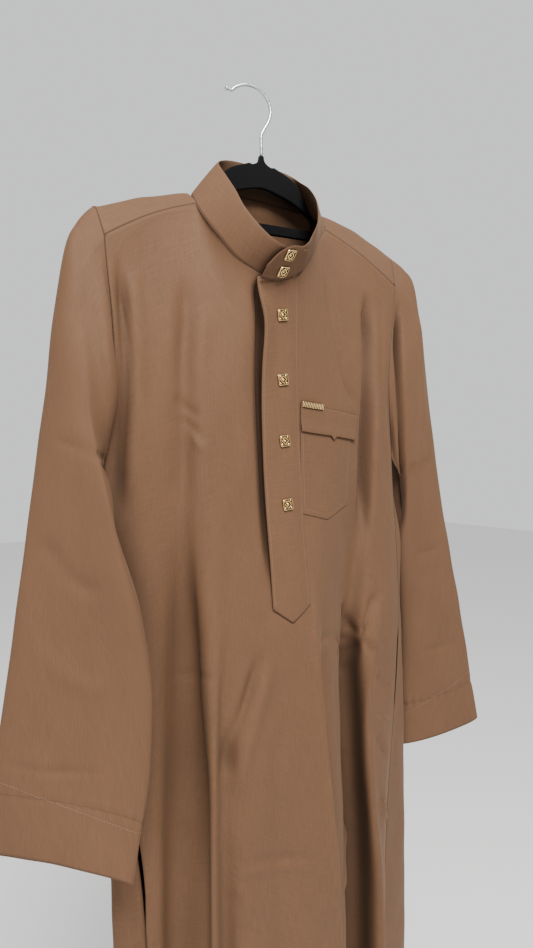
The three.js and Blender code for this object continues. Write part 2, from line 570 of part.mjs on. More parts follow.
// A piece of cloth over the front, its outer face lift above the panel.
function patch(cols, rows, lift, thick, place) {
  const grid = Array.from({ length: rows + 1 }, (_, j) => Array.from({ length: cols + 1 }, (_, i) => {
    const [x, z] = place(i / cols, j / rows);
    const { point, normal } = onFront(x, z);
    return point.addScaledVector(normal, lift + thick);
  }));
  return wall(grid, -1, thick, { trim: 0 });
}
function placeIn({ topX, footX, top, foot, point }) {
  return (u, v) => {
    const x = lerp(lerp(topX[0], topX[1], u), lerp(footX[0], footX[1], u), v);
    const low = lerp(foot[0], foot[1], u) - point * (1 - Math.abs(2 * u - 1));
    return [x, lerp(lerp(top[0], top[1], u), low, v)];
  };
}
const placketX = z => through(PLACKET.z, PLACKET.x, z);
const placketPlace = (u, v) => {
  const low = PLACKET_END_Z - PLACKET_POINT * (1 - Math.abs(2 * u - 1));
  const z = lerp(PLACKET.z[0], low, v);
  return [placketX(z) + (u - 0.5) * PLACKET_WIDTH, z];
};
add('placket', patch(4, 16, LIFT, PLACKET_WALL, placketPlace));
add('chest_pocket', patch(6, 7, LIFT, CLOTH, placeIn(POCKET)));
add('chest_pocket_band', patch(6, 2, LIFT + CLOTH + 0.5, CLOTH, placeIn(POCKET_BAND)));
add('pocket_trim', patch(3, 1, LIFT + 2 * CLOTH + 1, 1.4, placeIn(POCKET_TRIM)), gold);

// ---------------------------------------------------------------- buttons
// A square plate with a raised rim round a shallow field and a boss in its middle.
function buttonGeometry() {
  const half = BUTTON_SIZE / 2;
  const profile = [ // distance from the middle and height, from the back round to the boss
    [0, 0], [half, 0], [half, BUTTON_WALL], [4.8, BUTTON_WALL], [4.2, 1.1], [2.4, 1.1], [1.6, 1.7], [0, 1.7],
  ];
  const lathe = new THREE.LatheGeometry(profile.map(([r, h]) => new THREE.Vector2(r * Math.SQRT2, h)), 4);
  lathe.rotateX(Math.PI / 2).rotateZ(Math.PI / 4);
  return lathe;
}

// Puts a button's back on a point, its face along the normal and its sides level.
function addButton(name, point, normal) {
  const button = add(name, buttonGeometry(), gold);
  const level = V(1, 0, 0).addScaledVector(normal, -normal.x).normalize();
  const basis = new THREE.Matrix4().makeBasis(level, V().crossVectors(normal, level), normal);
  button.quaternion.setFromRotationMatrix(basis);
  button.position.copy(point).addScaledVector(normal, BUTTON_LIFT);
}
BUTTON_Z.forEach((z, k) => {
  const { point, normal } = onFront(placketX(z), z);
  addButton(`button_${k + 1}`, point.addScaledVector(normal, LIFT + PLACKET_WALL), normal);
});
COLLAR_BUTTONS.forEach((share, k) => {
  const [low, high] = [overSeam.getPoint(0.5), overEdge.getPoint(0.5)];
  const along = V().subVectors(overSeam.getPoint(0.55), overSeam.getPoint(0.45));
  const normal = V().crossVectors(V().subVectors(high, low), along).normalize();
  if (normal.y > 0) normal.negate();
  addButton(`collar_button_${k + 1}`, V().lerpVectors(low, high, share), normal);
});

// ---------------------------------------------------------------- hanger
// A flat board: two arms from the neck, and the bar that joins them.
function hangerGeometry() {
  const at = (r, z) => new THREE.Vector2(CENTRE_X + r, z + TILT * r);
  const edge = (list, r) => at(r, through(ARM.r, list, Math.abs(r)));
  const steps = (from, to, count) => Array.from({ length: count + 1 }, (_, k) => lerp(from, to, k / count));
  const neckRight = NECK.map(([r, z]) => at(r, z));
  const neckLeft = NECK.map(([r, z]) => at(-r, z)).reverse();
  const shape = new THREE.Shape([
    ...steps(-ARM_END, -20, 15).map(r => edge(ARM.top, r)),
    ...neckLeft,
    ...neckRight,
    ...steps(20, ARM_END, 15).map(r => edge(ARM.top, r)),
    at(ARM_END + 5, -169),
    ...steps(ARM_END, BAR.end, 3).map(r => edge(ARM.foot, r)),
    ...steps(-BAR.end, -ARM_END, 3).map(r => edge(ARM.foot, r)),
    at(-ARM_END - 5, -169),
  ]);
  shape.holes.push(new THREE.Path([
    ...steps(BAR.hole, -BAR.hole, 16).map(r => edge(ARM.foot, r)),
    at(-BAR.hole, BAR.top),
    at(BAR.hole, BAR.top),
  ]));
  const board = new THREE.ExtrudeGeometry(shape, { depth: HANGER_WALL, bevelEnabled: false, steps: 1 });
  return board.rotateX(Math.PI / 2).translate(0, HANGER_Y + HANGER_WALL / 2, 0);
}
add('hanger', hangerGeometry(), velvet);

// The wire hook: stem, bend, arc over the bearing and a turned-up tip with a ball on it.
const hookPoint = (h, z) => V(h * Math.cos(HOOK_TURN), h * Math.sin(HOOK_TURN), z);
function hookPath() {
  const centre = [BEARING.x / Math.cos(HOOK_TURN), WIRE / 2 - HOOK_RADIUS];
  const arc = Array.from({ length: 10 }, (_, k) => {
    const angle = THREE.MathUtils.degToRad(lerp(-4, 130, k / 9));
    return [centre[0] + HOOK_RADIUS * Math.cos(angle), centre[1] + HOOK_RADIUS * Math.sin(angle)];
  });
  return curve([...HOOK_STEM, ...arc, ...HOOK_TIP].map(([h, z]) => hookPoint(h, z)));
}
const wireSection = new THREE.Shape(new THREE.EllipseCurve(0, 0, WIRE / 2, WIRE / 2).getPoints(8).slice(0, 8));
const hookCurve = hookPath();
const wire = { extrudePath: hookCurve, steps: 34, bevelEnabled: false };
add('hanger_hook', new THREE.ExtrudeGeometry(wireSection, wire), chrome);
const tip = add('hanger_hook_ball', new THREE.SphereGeometry(BALL_RADIUS, 10, 6), chrome);
tip.position.copy(hookCurve.getPoint(1)).addScaledVector(hookCurve.getTangent(1), BALL_RADIUS + 0.3);

export default garment;
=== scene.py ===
# %% [markdown]
# # A thobe on its hanger
# A thobe is an ankle-length shirt dress: front, back and yoke, two straight sleeves, a stand collar,
# a buttoned placket and a chest pocket. This one hangs from a slim flocked hanger by its shoulders.
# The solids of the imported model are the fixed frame. Every piece made here stands where its solid
# stands, with a finer surface, and rides on the same body.

# %% Load the frame
import math
import bmesh
import bpy
import numpy as np
from mathutils import Matrix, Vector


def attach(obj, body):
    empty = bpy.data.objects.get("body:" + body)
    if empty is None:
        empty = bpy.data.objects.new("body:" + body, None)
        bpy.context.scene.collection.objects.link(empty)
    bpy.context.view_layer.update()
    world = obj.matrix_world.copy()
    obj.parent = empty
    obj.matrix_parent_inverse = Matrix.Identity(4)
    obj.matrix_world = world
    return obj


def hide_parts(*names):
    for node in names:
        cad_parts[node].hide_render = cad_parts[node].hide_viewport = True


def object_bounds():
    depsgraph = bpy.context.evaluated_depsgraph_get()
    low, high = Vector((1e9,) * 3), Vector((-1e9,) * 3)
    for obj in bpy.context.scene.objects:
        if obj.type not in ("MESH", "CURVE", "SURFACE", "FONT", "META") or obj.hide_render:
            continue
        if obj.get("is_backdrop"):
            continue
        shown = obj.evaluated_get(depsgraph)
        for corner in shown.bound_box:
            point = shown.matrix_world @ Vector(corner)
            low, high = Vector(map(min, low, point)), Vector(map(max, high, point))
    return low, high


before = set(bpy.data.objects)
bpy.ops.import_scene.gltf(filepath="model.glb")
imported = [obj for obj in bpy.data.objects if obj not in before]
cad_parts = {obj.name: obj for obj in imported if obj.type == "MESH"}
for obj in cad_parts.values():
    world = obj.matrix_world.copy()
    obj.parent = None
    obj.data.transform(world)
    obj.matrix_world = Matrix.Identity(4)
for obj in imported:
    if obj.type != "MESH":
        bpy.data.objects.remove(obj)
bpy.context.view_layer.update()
print("solids:", ", ".join(sorted(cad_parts)))

# %% [markdown]
# ## Camera
# The garment is seen from in front and from its right side, at chest height, by a lens of wide angle.
# The camera comes first, because every later choice is judged through it.

# %% Camera
CAMERA_PLACE = (-0.4674, -0.7040, -0.419)
CAMERA_YAW = math.radians(35)
CAMERA_PITCH = math.radians(-1.9)
FOCAL_LENGTH = 27.34  # millimetres, for a picture whose long side is 36 mm

camera_data = bpy.data.cameras.new("camera")
camera_data.lens = FOCAL_LENGTH
camera = bpy.data.objects.new("camera", camera_data)
camera.location = CAMERA_PLACE
camera.rotation_euler = (math.pi / 2 + CAMERA_PITCH, 0, -CAMERA_YAW)
bpy.context.scene.collection.objects.link(camera)
bpy.context.scene.camera = camera
print("camera at", CAMERA_PLACE)

# %% [markdown]
# ## Numbers of the garment
# Lengths are in millimetres, in the garment's own frame, and are moved to the hook's bearing when a
# mesh is made. The tables name what a pattern maker would name: fold lines, seams and sections.

# %% Driving dimensions
CLOTH = 0.9            # thickness of the cloth that is seen
COLLAR_WALL = 2.0
SEAM = 0.06            # each panel stops this far short of its seam
LIFT = 0.8             # a piece that lies on a panel stands this far off it
FAR = 99.0             # a distance to a seam that is too far to show
UNDERARM_Z = -430
HEM_Z = -1580
HEM_STITCH = 30        # the hem is this deep
CUFF_STITCH = 57       # the cuff's hem is this deep
BACK_SEAM_Z = -210
REFERENCE_Z = -900     # columns are spaced evenly along the section at this height
CENTRE_X = 7
TILT = 0.044           # the hanger leans, the wearer's left side higher
HANGER_Y = -2
NECK_SIDE = 86.5
PLACKET_WIDTH = 48
PLACKET_END_Z = -592
PLACKET_POINT = 17
PLACKET_WALL = 1.6
PLACKET_Z = [-241, -412, PLACKET_END_Z]   # the placket's centre line: heights, and x there
PLACKET_X = [-15, -8, -1.5]
SLIT_GAP = 0.8
BUTTON_Z = [-273, -341, -410, -478]
COLLAR_BUTTONS = [0.25, 0.75]
BEARING = np.array([-7.7, 2.2, 0])  # where the hook bears, in the garment's own frame
HOOK_TURN = math.radians(-16)
HOOK_RADIUS = 27
WIRE = 3.8
BALL_RADIUS = 2.6

# %% [markdown]
# The front and the back hang in folds. A fold line is one ridge or trough followed down the cloth:
# its x and y at each height. A smooth section through all fold lines gives the panel at that height.

# %% Fold lines
FRONT_LEVELS = [-235, -330, UNDERARM_Z, -650, -900, HEM_Z]
FRONT_FOLDS = {
    # fold line      x, y at -235, -330, -430, -650, -900 and at the hem
    "right edge": [-192, -31, -191, -35, -198, -18, -190, -8, -152, -12, -150, -12],
    "right side": [-155, -36, -156, -41, -164, -36, -156, -27, -138, -18, -134, -20],
    "right trough": [-120, -43, -118, -46, -121, -44, -124, -32, -122, -18, -114, -14],
    "right rise": [-105, -49, -104, -51, -106, -51, -110, -54, -113, -56, -104, -60],
    "right ridge": [-88, -56, -86, -57, -88, -58, -96, -66, -101, -71, -92, -78],
    "thin trough": [-66, -66, -64, -61, -66, -60, -76, -66, -82, -63, -72, -66],
    "panel edge": [-42, -69, -44, -61, -44, -60, -50, -72, -60, -76, -50, -86],
    "centre": [-8, -72, -4, -67, -2, -66, -2, -77, -5, -83, 0, -95],
    "sharp ridge": [35, -66, 36, -62, 34, -63, 34, -78, 50, -85, 76, -98],
    "left slope": [75, -54, 80, -54, 80, -55, 78, -53, 90, -53, 114, -60],
    "left trough": [112, -46, 134, -40, 137, -38, 118, -27, 127, -23, 152, -20],
    "left ridge": [140, -41, 158, -38, 160, -39, 136, -45, 147, -50, 178, -62],
    "left side": [170, -36, 172, -35, 184, -32, 176, -42, 170, -43, 184, -50],
    "left edge": [192, -31, 184, -33, 207, -16, 216, -22, 190, -28, 175, -30],
}
BACK_LEVELS = [BACK_SEAM_Z, -330, UNDERARM_Z, -650, -900, HEM_Z]
BACK_FOLDS = {
    # fold line      x, y at -210, -330, -430, -650, -900 and at the hem
    "right edge": [-198, 4, -190, 6, -198, -18, -190, -8, -152, -12, -150, -12],
    "right wrap": [-184, 12, -181, 12, -198, -6, -197, 0, -172, -9, -172, -9],
    "right side": [-165, 17, -163, 17, -186, 7, -192, 9, -181, 3, -183, 5],
    "right corner": [-130, 20, -130, 20, -160, 16, -172, 17, -167, 16, -170, 20],
    "right ridge": [-90, 21, -90, 22, -112, 20, -140, 20, -136, 20, -143, 27],
    "right trough": [-50, 21, -52, 20, -64, 14, -90, 7, -98, 3, -101, 0],
    "mid ridge": [-15, 21, -15, 21, -25, 18, -50, 19, -54, 20, -56, 29],
    "centre": [15, 21, 18, 22, 15, 21, 4, 21, 6, 20, 4, 27],
    "left swell": [58, 21, 60, 22, 60, 20, 55, 20, 54, 20, 60, 29],
    "left trough": [100, 21, 100, 20, 100, 15, 92, 8, 90, 3, 100, 1],
    "left ridge": [140, 20, 140, 20, 150, 18, 142, 19, 146, 20, 156, 27],
    "left corner": [178, 17, 174, 17, 194, 10, 212, 13, 210, 16, 216, 21],
    "left wrap": [201, 12, 190, 12, 207, -4, 236, -4, 248, -2, 255, 4],
    "left edge": [212, 4, 196, 6, 207, -16, 216, -22, 190, -28, 175, -30],
}

# %% [markdown]
# The collar's lower seam is the neckline, and its upper edge leans in over the neck. Both run from
# the end that lies underneath, round the wearer's right side and the back, to the outer end.
# The sleeves are flattened tubes: an outer fold, an inner fold, and how far each side swells.

# %% Collar, sleeves and shoulders
COLLAR = np.array([
    # seam x, y, z      edge x, y, z
    [[4, -71.5, -232], [3, -98, -207]],
    [[-20, -73, -236], [-18, -101, -212]],
    [[-47, -73, -231], [-40, -101, -207]],
    [[-68, -68, -218], [-54, -94, -194]],
    [[-83, -55, -194], [-65, -77, -169]],
    [[-90, -38, -172], [-64, -58, -146]],
    [[-91, -24, -156], [-62, -38, -126]],   # 6: the right shoulder seam
    [[-86, -6, -139], [-57, -12, -102]],
    [[-68, 8, -129], [-42, 3, -91]],
    [[-35, 15, -123], [-22, 14, -84]],
    [[5, 18, -121], [8, 19, -81]],          # 10: the middle of the back
    [[45, 15, -123], [44, 17, -80]],
    [[72, 8, -127], [60, 9, -86]],
    [[84, -5, -133], [62, -8, -98]],
    [[84, -20, -145], [54, -33, -113]],
    [[76, -34, -157], [46, -54, -130]],     # 15: the left shoulder seam
    [[57, -49, -174], [36, -72, -147]],
    [[36, -63, -199], [22, -90, -173]],
    [[16, -70, -221], [5, -97, -198]],      # 18: where the outer end leaves the seam
], float)
NECK_RIGHT = 6
NECK_LEFT = 15
STATIONS = len(COLLAR) - 1
COLLAR_OVER = np.array([
    [[-4, -76.5, -231.5], [-8, -103, -206.5]],
    [[-22, -78, -237.5], [-24, -105.5, -209.5]],
    [[-38, -78, -239], [-37.5, -102, -217]],
    [[-45, -77.5, -239], [-45.5, -90, -229]],
], float)
SLEEVES = {
    # outer x, y, z, inner x, y, z, front bulge, back bulge
    "right": np.array([
        [-198, -1, -174, -198, -18, -430, 28, 14],
        [-216, -6, -194, -206, -22, -446, 24, 12],
        [-230, -9, -222, -206, -38, -476, 23, 11],
        [-242, -9, -290, -190, -55, -525, 22, 11],
        [-254, -5, -398, -177, -63, -578, 19, 11],
        [-270, 0, -518, -167, -66, -652, 15, 11],
        [-286, 4, -638, -171, -69, -729, 13, 11],
        [-299, 6, -725, -181, -72, -784, 12, 10],
        [-310, 7, -806, -192, -75, -836, 11, 10],
    ], float),
    "left": np.array([
        [211, -1, -163, 207, -16, -430, 28, 14],
        [232, -6, -176, 214, -14, -448, 26, 16],
        [248, -10, -200, 222, -7, -478, 25, 18],
        [265, -13, -290, 229, -1, -525, 22, 18],
        [284, -16, -400, 234, 3, -588, 18, 16],
        [306, -20, -520, 244, 4, -660, 14, 13],
        [333, -25, -640, 248, 7, -735, 12, 11],
        [350, -29, -725, 249, 9, -785, 11, 10],
        [366, -32, -804, 249, 10, -830, 11, 10],
    ], float),
}
CUFF_RISE = {"right": 12, "left": -3}
CREST_R = [88, 110, 140, 170, 192, 206]
CREST_Z = [-134, -137.5, -145.5, -152.5, -158.5, -166]
FRONT_CORNER = {"right": np.array([-198, -30, -209.0]), "left": np.array([198, -30, -208.0])}
ARMHOLE_TOP = {"right": np.array([-198, -1, -174.0]), "left": np.array([211, -1, -163.0])}

# %% [markdown]
# ## Curves
# Two curves serve everywhere. `through` reads a table between its rows. `along` is a centripetal
# Catmull-Rom curve, which passes through its points without overshooting. Both take whole arrays.

# %% Curves
def smooth(low, high, x):
    """0 up to low, 1 from high on, and 3t^2 - 2t^3 between them."""
    t = np.clip((np.asarray(x, float) - low) / (high - low), 0, 1)
    return t * t * (3 - 2 * t)


def through(xs, ys, x):
    """Cubic Hermite through the rows of a table; each tangent is the mean of the slopes beside it."""
    xs, ys, x = np.asarray(xs, float), np.asarray(ys, float), np.asarray(x, float)
    if xs[1] < xs[0]:
        xs, x = -xs, -x
    flat = ys.reshape(len(xs), -1)
    k = np.clip(np.searchsorted(xs, x) - 1, 0, len(xs) - 2)
    slope = np.diff(flat, axis=0) / np.diff(xs)[:, None]
    tangent = np.concatenate([slope[:1], (slope[:-1] + slope[1:]) / 2, slope[-1:]])
    h = (xs[k + 1] - xs[k])[:, None]
    t = np.clip((x - xs[k])[:, None] / h, 0, 1)
    value = (2 * t**3 - 3 * t**2 + 1) * flat[k] + (t**3 - 2 * t**2 + t) * h * tangent[k]
    value += (3 * t**2 - 2 * t**3) * flat[k + 1] + (t**3 - t**2) * h * tangent[k + 1]
    return value.reshape(x.shape + ys.shape[1:])


def along(points, t):
    """Centripetal Catmull-Rom through points (..., n, 3) at places t (..., m) from 0 to 1.

    Between points b and c the tangents are (b-a)/p - (c-a)/(p+q) + (c-b)/q and its mirror image,
    times q, where p, q and r are the square roots of the three chords.
    """
    points, t = np.asarray(points, float), np.asarray(t, float)
    last = points.shape[-2] - 1
    first_guess = 2 * points[..., :1, :] - points[..., 1:2, :]
    last_guess = 2 * points[..., -1:, :] - points[..., -2:-1, :]
    row = np.concatenate([first_guess, points, last_guess], axis=-2)
    k = np.clip(np.floor(t * last).astype(int), 0, last - 1)
    w = (t * last - k)[..., None]
    a, b, c, d = (np.take_along_axis(row, (k + j)[..., None], axis=-2) for j in range(4))
    p, q, r = (np.sqrt(np.linalg.norm(v - u, axis=-1, keepdims=True)) for u, v in ((a, b), (b, c), (c, d)))
    leave = ((b - a) / p - (c - a) / (p + q) + (c - b) / q) * q
    arrive = ((c - b) / q - (d - b) / (q + r) + (d - c) / r) * q
    return b + w * (leave + w * (3 * (c - b) - 2 * leave - arrive + w * (2 * (b - c) + leave + arrive)))


def mix(a, b, t):
    """a at t = 0, b at t = 1, and in proportion between them."""
    return a + (b - a) * t


def read_rows(places, known, rows):
    """Rows of x, y, z known at some places, read at others by straight lines."""
    return np.stack([np.interp(places, known, rows[:, k]) for k in range(3)], -1)


def unit(v):
    """v over its length, along the last axis."""
    return v / np.maximum(np.linalg.norm(v, axis=-1, keepdims=True), 1e-9)


# %% Sections of a panel
def sections(folds, levels, z):
    """The fold lines of a panel at heights z, as (heights, fold lines, 3)."""
    table = np.array(list(folds.values()), float).reshape(len(folds), len(levels), 2)
    z = np.asarray(z, float)
    xy = through(levels, table.transpose(1, 0, 2), np.clip(z, levels[-1], levels[0]))
    return np.concatenate([xy, np.broadcast_to(z[:, None, None], xy.shape[:2] + (1,))], axis=-1)


def place_at_x(section, x):
    """Halving steps to the place, 0 to 1, at which each section reaches its x."""
    low, high = np.zeros(len(x)), np.ones(len(x))
    for _ in range(24):
        middle = (low + high) / 2
        left = along(section, middle[:, None])[:, 0, 0] < x
        low, high = np.where(left, middle, low), np.where(left, high, middle)
    return (low + high) / 2


def even_places(folds, levels, shares):
    """Places evenly spaced by arc length along the section at REFERENCE_Z."""
    t = np.linspace(0, 1, 201)
    line = along(sections(folds, levels, [REFERENCE_Z])[0], t)
    length = np.concatenate([[0], np.cumsum(np.linalg.norm(np.diff(line, axis=0), axis=1))])
    return np.interp(shares * length[-1], length, t)


ARM_V = np.linspace(0, 1, 61)[:, None]                     # rows beside the armholes
BODY_Z = np.linspace(UNDERARM_Z, HEM_Z, 231)[1:]           # rows below the underarm, 5 mm apart


def panel_grid(top, places, folds, levels):
    """A panel: each column starts on the upper edge and slides to its own place by the underarm."""
    own = sections(folds, levels, top[:, 2])
    first = place_at_x(own, top[:, 0])
    miss = top - along(own, first[:, None])[:, 0]
    place = first + (places - first) * smooth(0, 1, ARM_V)
    z = top[:, 2] + (UNDERARM_Z - top[:, 2]) * ARM_V
    upper = along(sections(folds, levels, z.ravel()), place.ravel()[:, None])[:, 0]
    upper = upper.reshape(z.shape + (3,)) + miss * ((1 - ARM_V) ** 3)[..., None]
    lower = along(sections(folds, levels, BODY_Z), np.tile(places, (len(BODY_Z), 1)))
    return np.concatenate([upper, lower])


# %% [markdown]
# ## The shell of the garment
# The upper edge of the front is the shoulder seam, the neckline and the other shoulder seam, with
# the slit that the placket covers. The yoke runs from there over the hanger to the back's seam.

# %% Neckline and front
SHOULDER_COLS = 8     # the columns of the solid's shoulder seam, which set the spacing here too
FINE = 4              # columns here for each of the solid's
SLIT_COL = SHOULDER_COLS + 2 * NECK_RIGHT


def neck_seam(s):
    """Point of the neckline at station s."""
    return along(COLLAR[:, 0], np.asarray(s, float) / STATIONS)


def neck_edge(s):
    """Point of the collar's upper edge at station s."""
    return along(COLLAR[:, 1], np.asarray(s, float) / STATIONS)


def front_seam(side, share):
    """Seam between front and yoke, from the armhole at 0 to the collar at 1, arched by 5 mm."""
    share = np.asarray(share, float)[:, None]
    neck = neck_seam([NECK_RIGHT if side == "right" else NECK_LEFT])
    line = FRONT_CORNER[side] * (1 - share) + neck * share
    line[:, 2] += 5 * np.sin(math.pi * share[:, 0])
    return line


def steps(first, last):
    """Column numbers from first to last, FINE to each whole one."""
    return np.linspace(first, last, int(round((last - first) * FINE)) + 1)


right_cols = steps(0, SLIT_COL)
left_cols = steps(SLIT_COL + 1, SLIT_COL + 16)
slit_point = neck_seam([0])[0]
top_right = np.concatenate([
    front_seam("right", right_cols[right_cols < SHOULDER_COLS] / SHOULDER_COLS),
    neck_seam(NECK_RIGHT - (right_cols[right_cols >= SHOULDER_COLS] - SHOULDER_COLS) / 2),
])
beside_slit = left_cols[left_cols < SLIT_COL + 2] - SLIT_COL - 1
on_neck = left_cols[(left_cols >= SLIT_COL + 2) & (left_cols < SLIT_COL + 8)] - SLIT_COL - 2
on_shoulder = left_cols[left_cols >= SLIT_COL + 8] - SLIT_COL - 8
slit_left = slit_point + [SLIT_GAP, 0, 0]
top_left = np.concatenate([
    slit_left + (neck_seam([STATIONS]) - slit_left) * beside_slit[:, None],
    neck_seam(STATIONS - on_neck / 2),
    front_seam("left", 1 - on_shoulder / SHOULDER_COLS),
])
front_top = np.concatenate([top_right, top_left])
front_steps = SLIT_COL + 15
front_shares = np.concatenate([right_cols, left_cols - 1]) / front_steps
front_places = even_places(FRONT_FOLDS, FRONT_LEVELS, front_shares)
front_places[len(right_cols)] += 0.002   # parts the slit
front_grid = panel_grid(front_top, front_places, FRONT_FOLDS, FRONT_LEVELS)
print("front", front_grid.shape[:2])

# %% [markdown]
# The yoke's columns start on the shoulder seams and the back neckline. They cross the hanger's crest
# beside the neck, or drop straight down behind it, and end on the back's upper edge.

# %% Yoke and back
def crest_z(x):
    """Height of the shoulders' crest, by distance from the centre line and the hanger's lean."""
    return through(CREST_R, CREST_Z, np.abs(x - CENTRE_X)) + TILT * (x - CENTRE_X)


YOKE_COLS = 34
NECK_COLS = 2 * (NECK_LEFT - NECK_RIGHT)
YOKE_ROWS = 40


def yoke_starts(cols):
    """Upper edge of the yoke: shoulder seam, back neckline, shoulder seam."""
    end = SHOULDER_COLS + NECK_COLS
    return np.concatenate([
        front_seam("right", cols[cols < SHOULDER_COLS] / SHOULDER_COLS),
        neck_seam(NECK_RIGHT + (cols[(cols >= SHOULDER_COLS) & (cols <= end)] - SHOULDER_COLS) / 2),
        front_seam("left", 1 - (cols[cols > end] - end) / SHOULDER_COLS),
    ])


def beside_neck(start):
    """x at which a column that starts in front of the hanger passes beside the neck."""
    return np.sign(start[:, 0]) * (NECK_SIDE + 0.3 * np.maximum(-3 - start[:, 1], 0))


def crown_xs(cols):
    """Where columns cross the crest: beside the neck, and spread evenly from there to the armhole."""
    whole = np.arange(YOKE_COLS + 1)
    start = yoke_starts(whole)
    beside = beside_neck(start)
    over = beside + (start[:, 0] - beside) * smooth(-6, 6, start[:, 1])
    spread = np.minimum(whole, YOKE_COLS - whole) / SHOULDER_COLS
    right = FRONT_CORNER["right"][0] * (1 - spread) + beside[SHOULDER_COLS] * spread
    left = FRONT_CORNER["left"][0] * (1 - spread) + beside[YOKE_COLS - SHOULDER_COLS] * spread
    sides = np.where(whole < SHOULDER_COLS, right, left)
    return np.interp(cols, whole, np.where(spread < 1, sides, over))


def yoke_columns(cols):
    """Curves over the crest, or down from the back neckline, through five points each."""
    start, crown_x, share = yoke_starts(cols), crown_xs(cols), cols / YOKE_COLS
    over_back = smooth(-24, 12, start[:, 1])
    at_armhole = 1 - smooth(0, 0.12, np.minimum(share, 1 - share))
    top = np.where((share < 0.5)[:, None], ARMHOLE_TOP["right"], ARMHOLE_TOP["left"])
    x = mix(crown_x, top[:, 0], at_armhole)
    crown_z = mix(mix(crest_z(x), top[:, 2], at_armhole), start[:, 2] - 14, over_back)
    crown_front = np.stack([x, mix(HANGER_Y - 4, 17, over_back), crown_z - 1], -1)
    crown_back = np.stack([x, mix(HANGER_Y + 4, 19.5, over_back), crown_z - mix(0.5, 12, over_back)], -1)
    fall_y = mix(mix(17, 10, at_armhole), 20.5, over_back)
    fall = np.stack([x, fall_y, mix(crown_z - 20, BACK_SEAM_Z, 0.25)], -1)
    back_section = sections(BACK_FOLDS, BACK_LEVELS, np.full(len(x), float(BACK_SEAM_Z)))
    foot = along(back_section, place_at_x(back_section, x)[:, None])[:, 0]
    controls = np.stack([start, crown_front, crown_back, fall, foot], 1)
    return along(controls, np.tile(np.linspace(0, 1, YOKE_ROWS + 1), (len(x), 1)))


yoke_cols = steps(0, YOKE_COLS)
yoke_grid = yoke_columns(yoke_cols).transpose(1, 0, 2)
back_places = even_places(BACK_FOLDS, BACK_LEVELS, yoke_cols / YOKE_COLS)
back_grid = panel_grid(yoke_grid[-1], back_places, BACK_FOLDS, BACK_LEVELS)
print("yoke", yoke_grid.shape[:2], "back", back_grid.shape[:2])

# %% [markdown]
# The front beside the neckline hangs as one smooth sheet, which averaging neighbours gives. Below the
# underarm the back's sides are brought to the front's edges, and under the left arm its side swells
# out towards the sleeve. The lips of the two side pockets stand apart by up to 4 mm.

# %% Fitting the panels together
RELAX_ROUNDS = 160
SWELL_Z, SWELL_HALF, SWELL_OUT = -540, 48, 10


def relaxed(grid, weight, rounds):
    """Moves inner points towards the mean of their four neighbours, by weight a row, rounds times."""
    grid = grid.copy()
    pull = weight[1:-1, None, None]
    for _ in range(rounds):
        mean = (grid[:-2, 1:-1] + grid[2:, 1:-1] + grid[1:-1, :-2] + grid[1:-1, 2:]) / 4
        grid[1:-1, 1:-1] += pull * (mean - grid[1:-1, 1:-1])
    return grid


near_top = np.zeros(len(front_grid))
near_top[:len(ARM_V)] = 0.9 * (1 - smooth(0.25, 0.8, ARM_V[:, 0]))
front_halves = np.split(front_grid, [len(right_cols)], axis=1)
front_grid = np.concatenate([relaxed(half, near_top, RELAX_ROUNDS) for half in front_halves], axis=1)

below = slice(len(ARM_V) - 1, None)
share = (yoke_cols / YOKE_COLS)[None, :, None]
miss_right = front_grid[below, :1] - back_grid[below, :1]
miss_left = front_grid[below, -1:] - back_grid[below, -1:]
back_grid[below] += miss_right * (1 - smooth(0, 0.3, share)) + miss_left * smooth(0.7, 1, share)

under_arm = np.exp(-((back_grid[..., 2] - SWELL_Z) / SWELL_HALF) ** 2)
at_side = smooth(0.78, 0.95, share[..., 0]) * (1 - smooth(0.965, 1, share[..., 0]))
back_grid[..., 0] += SWELL_OUT * under_arm * at_side

# Each side pocket: column of the edge, how far its lip moves inwards, top and foot.
SIDE_POCKETS = [(0, 4, -765, -930), (-1, -4, -650, -765)]
for edge_col, inward, top_z, foot_z in SIDE_POCKETS:
    opening = np.clip((top_z - front_grid[:, edge_col, 2]) / (top_z - foot_z), 0, 1)
    front_grid[:, edge_col, 0] += inward * np.sin(math.pi * opening)

# %% [markdown]
# A sleeve starts on the armhole, a closed loop that runs up the front's edge, over the yoke and down
# the back's edge, and blends into its own flattened sections within a hand's width.

# %% Sleeves
LOOP = 22          # the loop's length in the solid's points: 8 up the front, 6 over the yoke, 8 down
CROWN = 11         # its place on the crest
YOKE_PLACES = [0, 0.125, 0.25, 0.5, 0.625, 0.75, 1]
SLEEVE_COLS = 132
SLEEVE_ROWS = 150


def armhole(side, i):
    """Points of the armhole at places i of its loop, read off the edges of the three panels."""
    col = 0 if side == "right" else -1
    v = ARM_V[:, 0]
    yoke_v = np.linspace(0, 1, YOKE_ROWS + 1)
    rows = len(v)
    up_front = read_rows(1 - i / 8, v, front_grid[:rows, col])
    over = read_rows(np.interp(i - 8, range(7), YOKE_PLACES), yoke_v, yoke_grid[:, col])
    down_back = read_rows((i - 14) / 8, v, back_grid[:rows, col])
    return np.where((i < 8)[:, None], up_front, np.where((i < 14)[:, None], over, down_back))


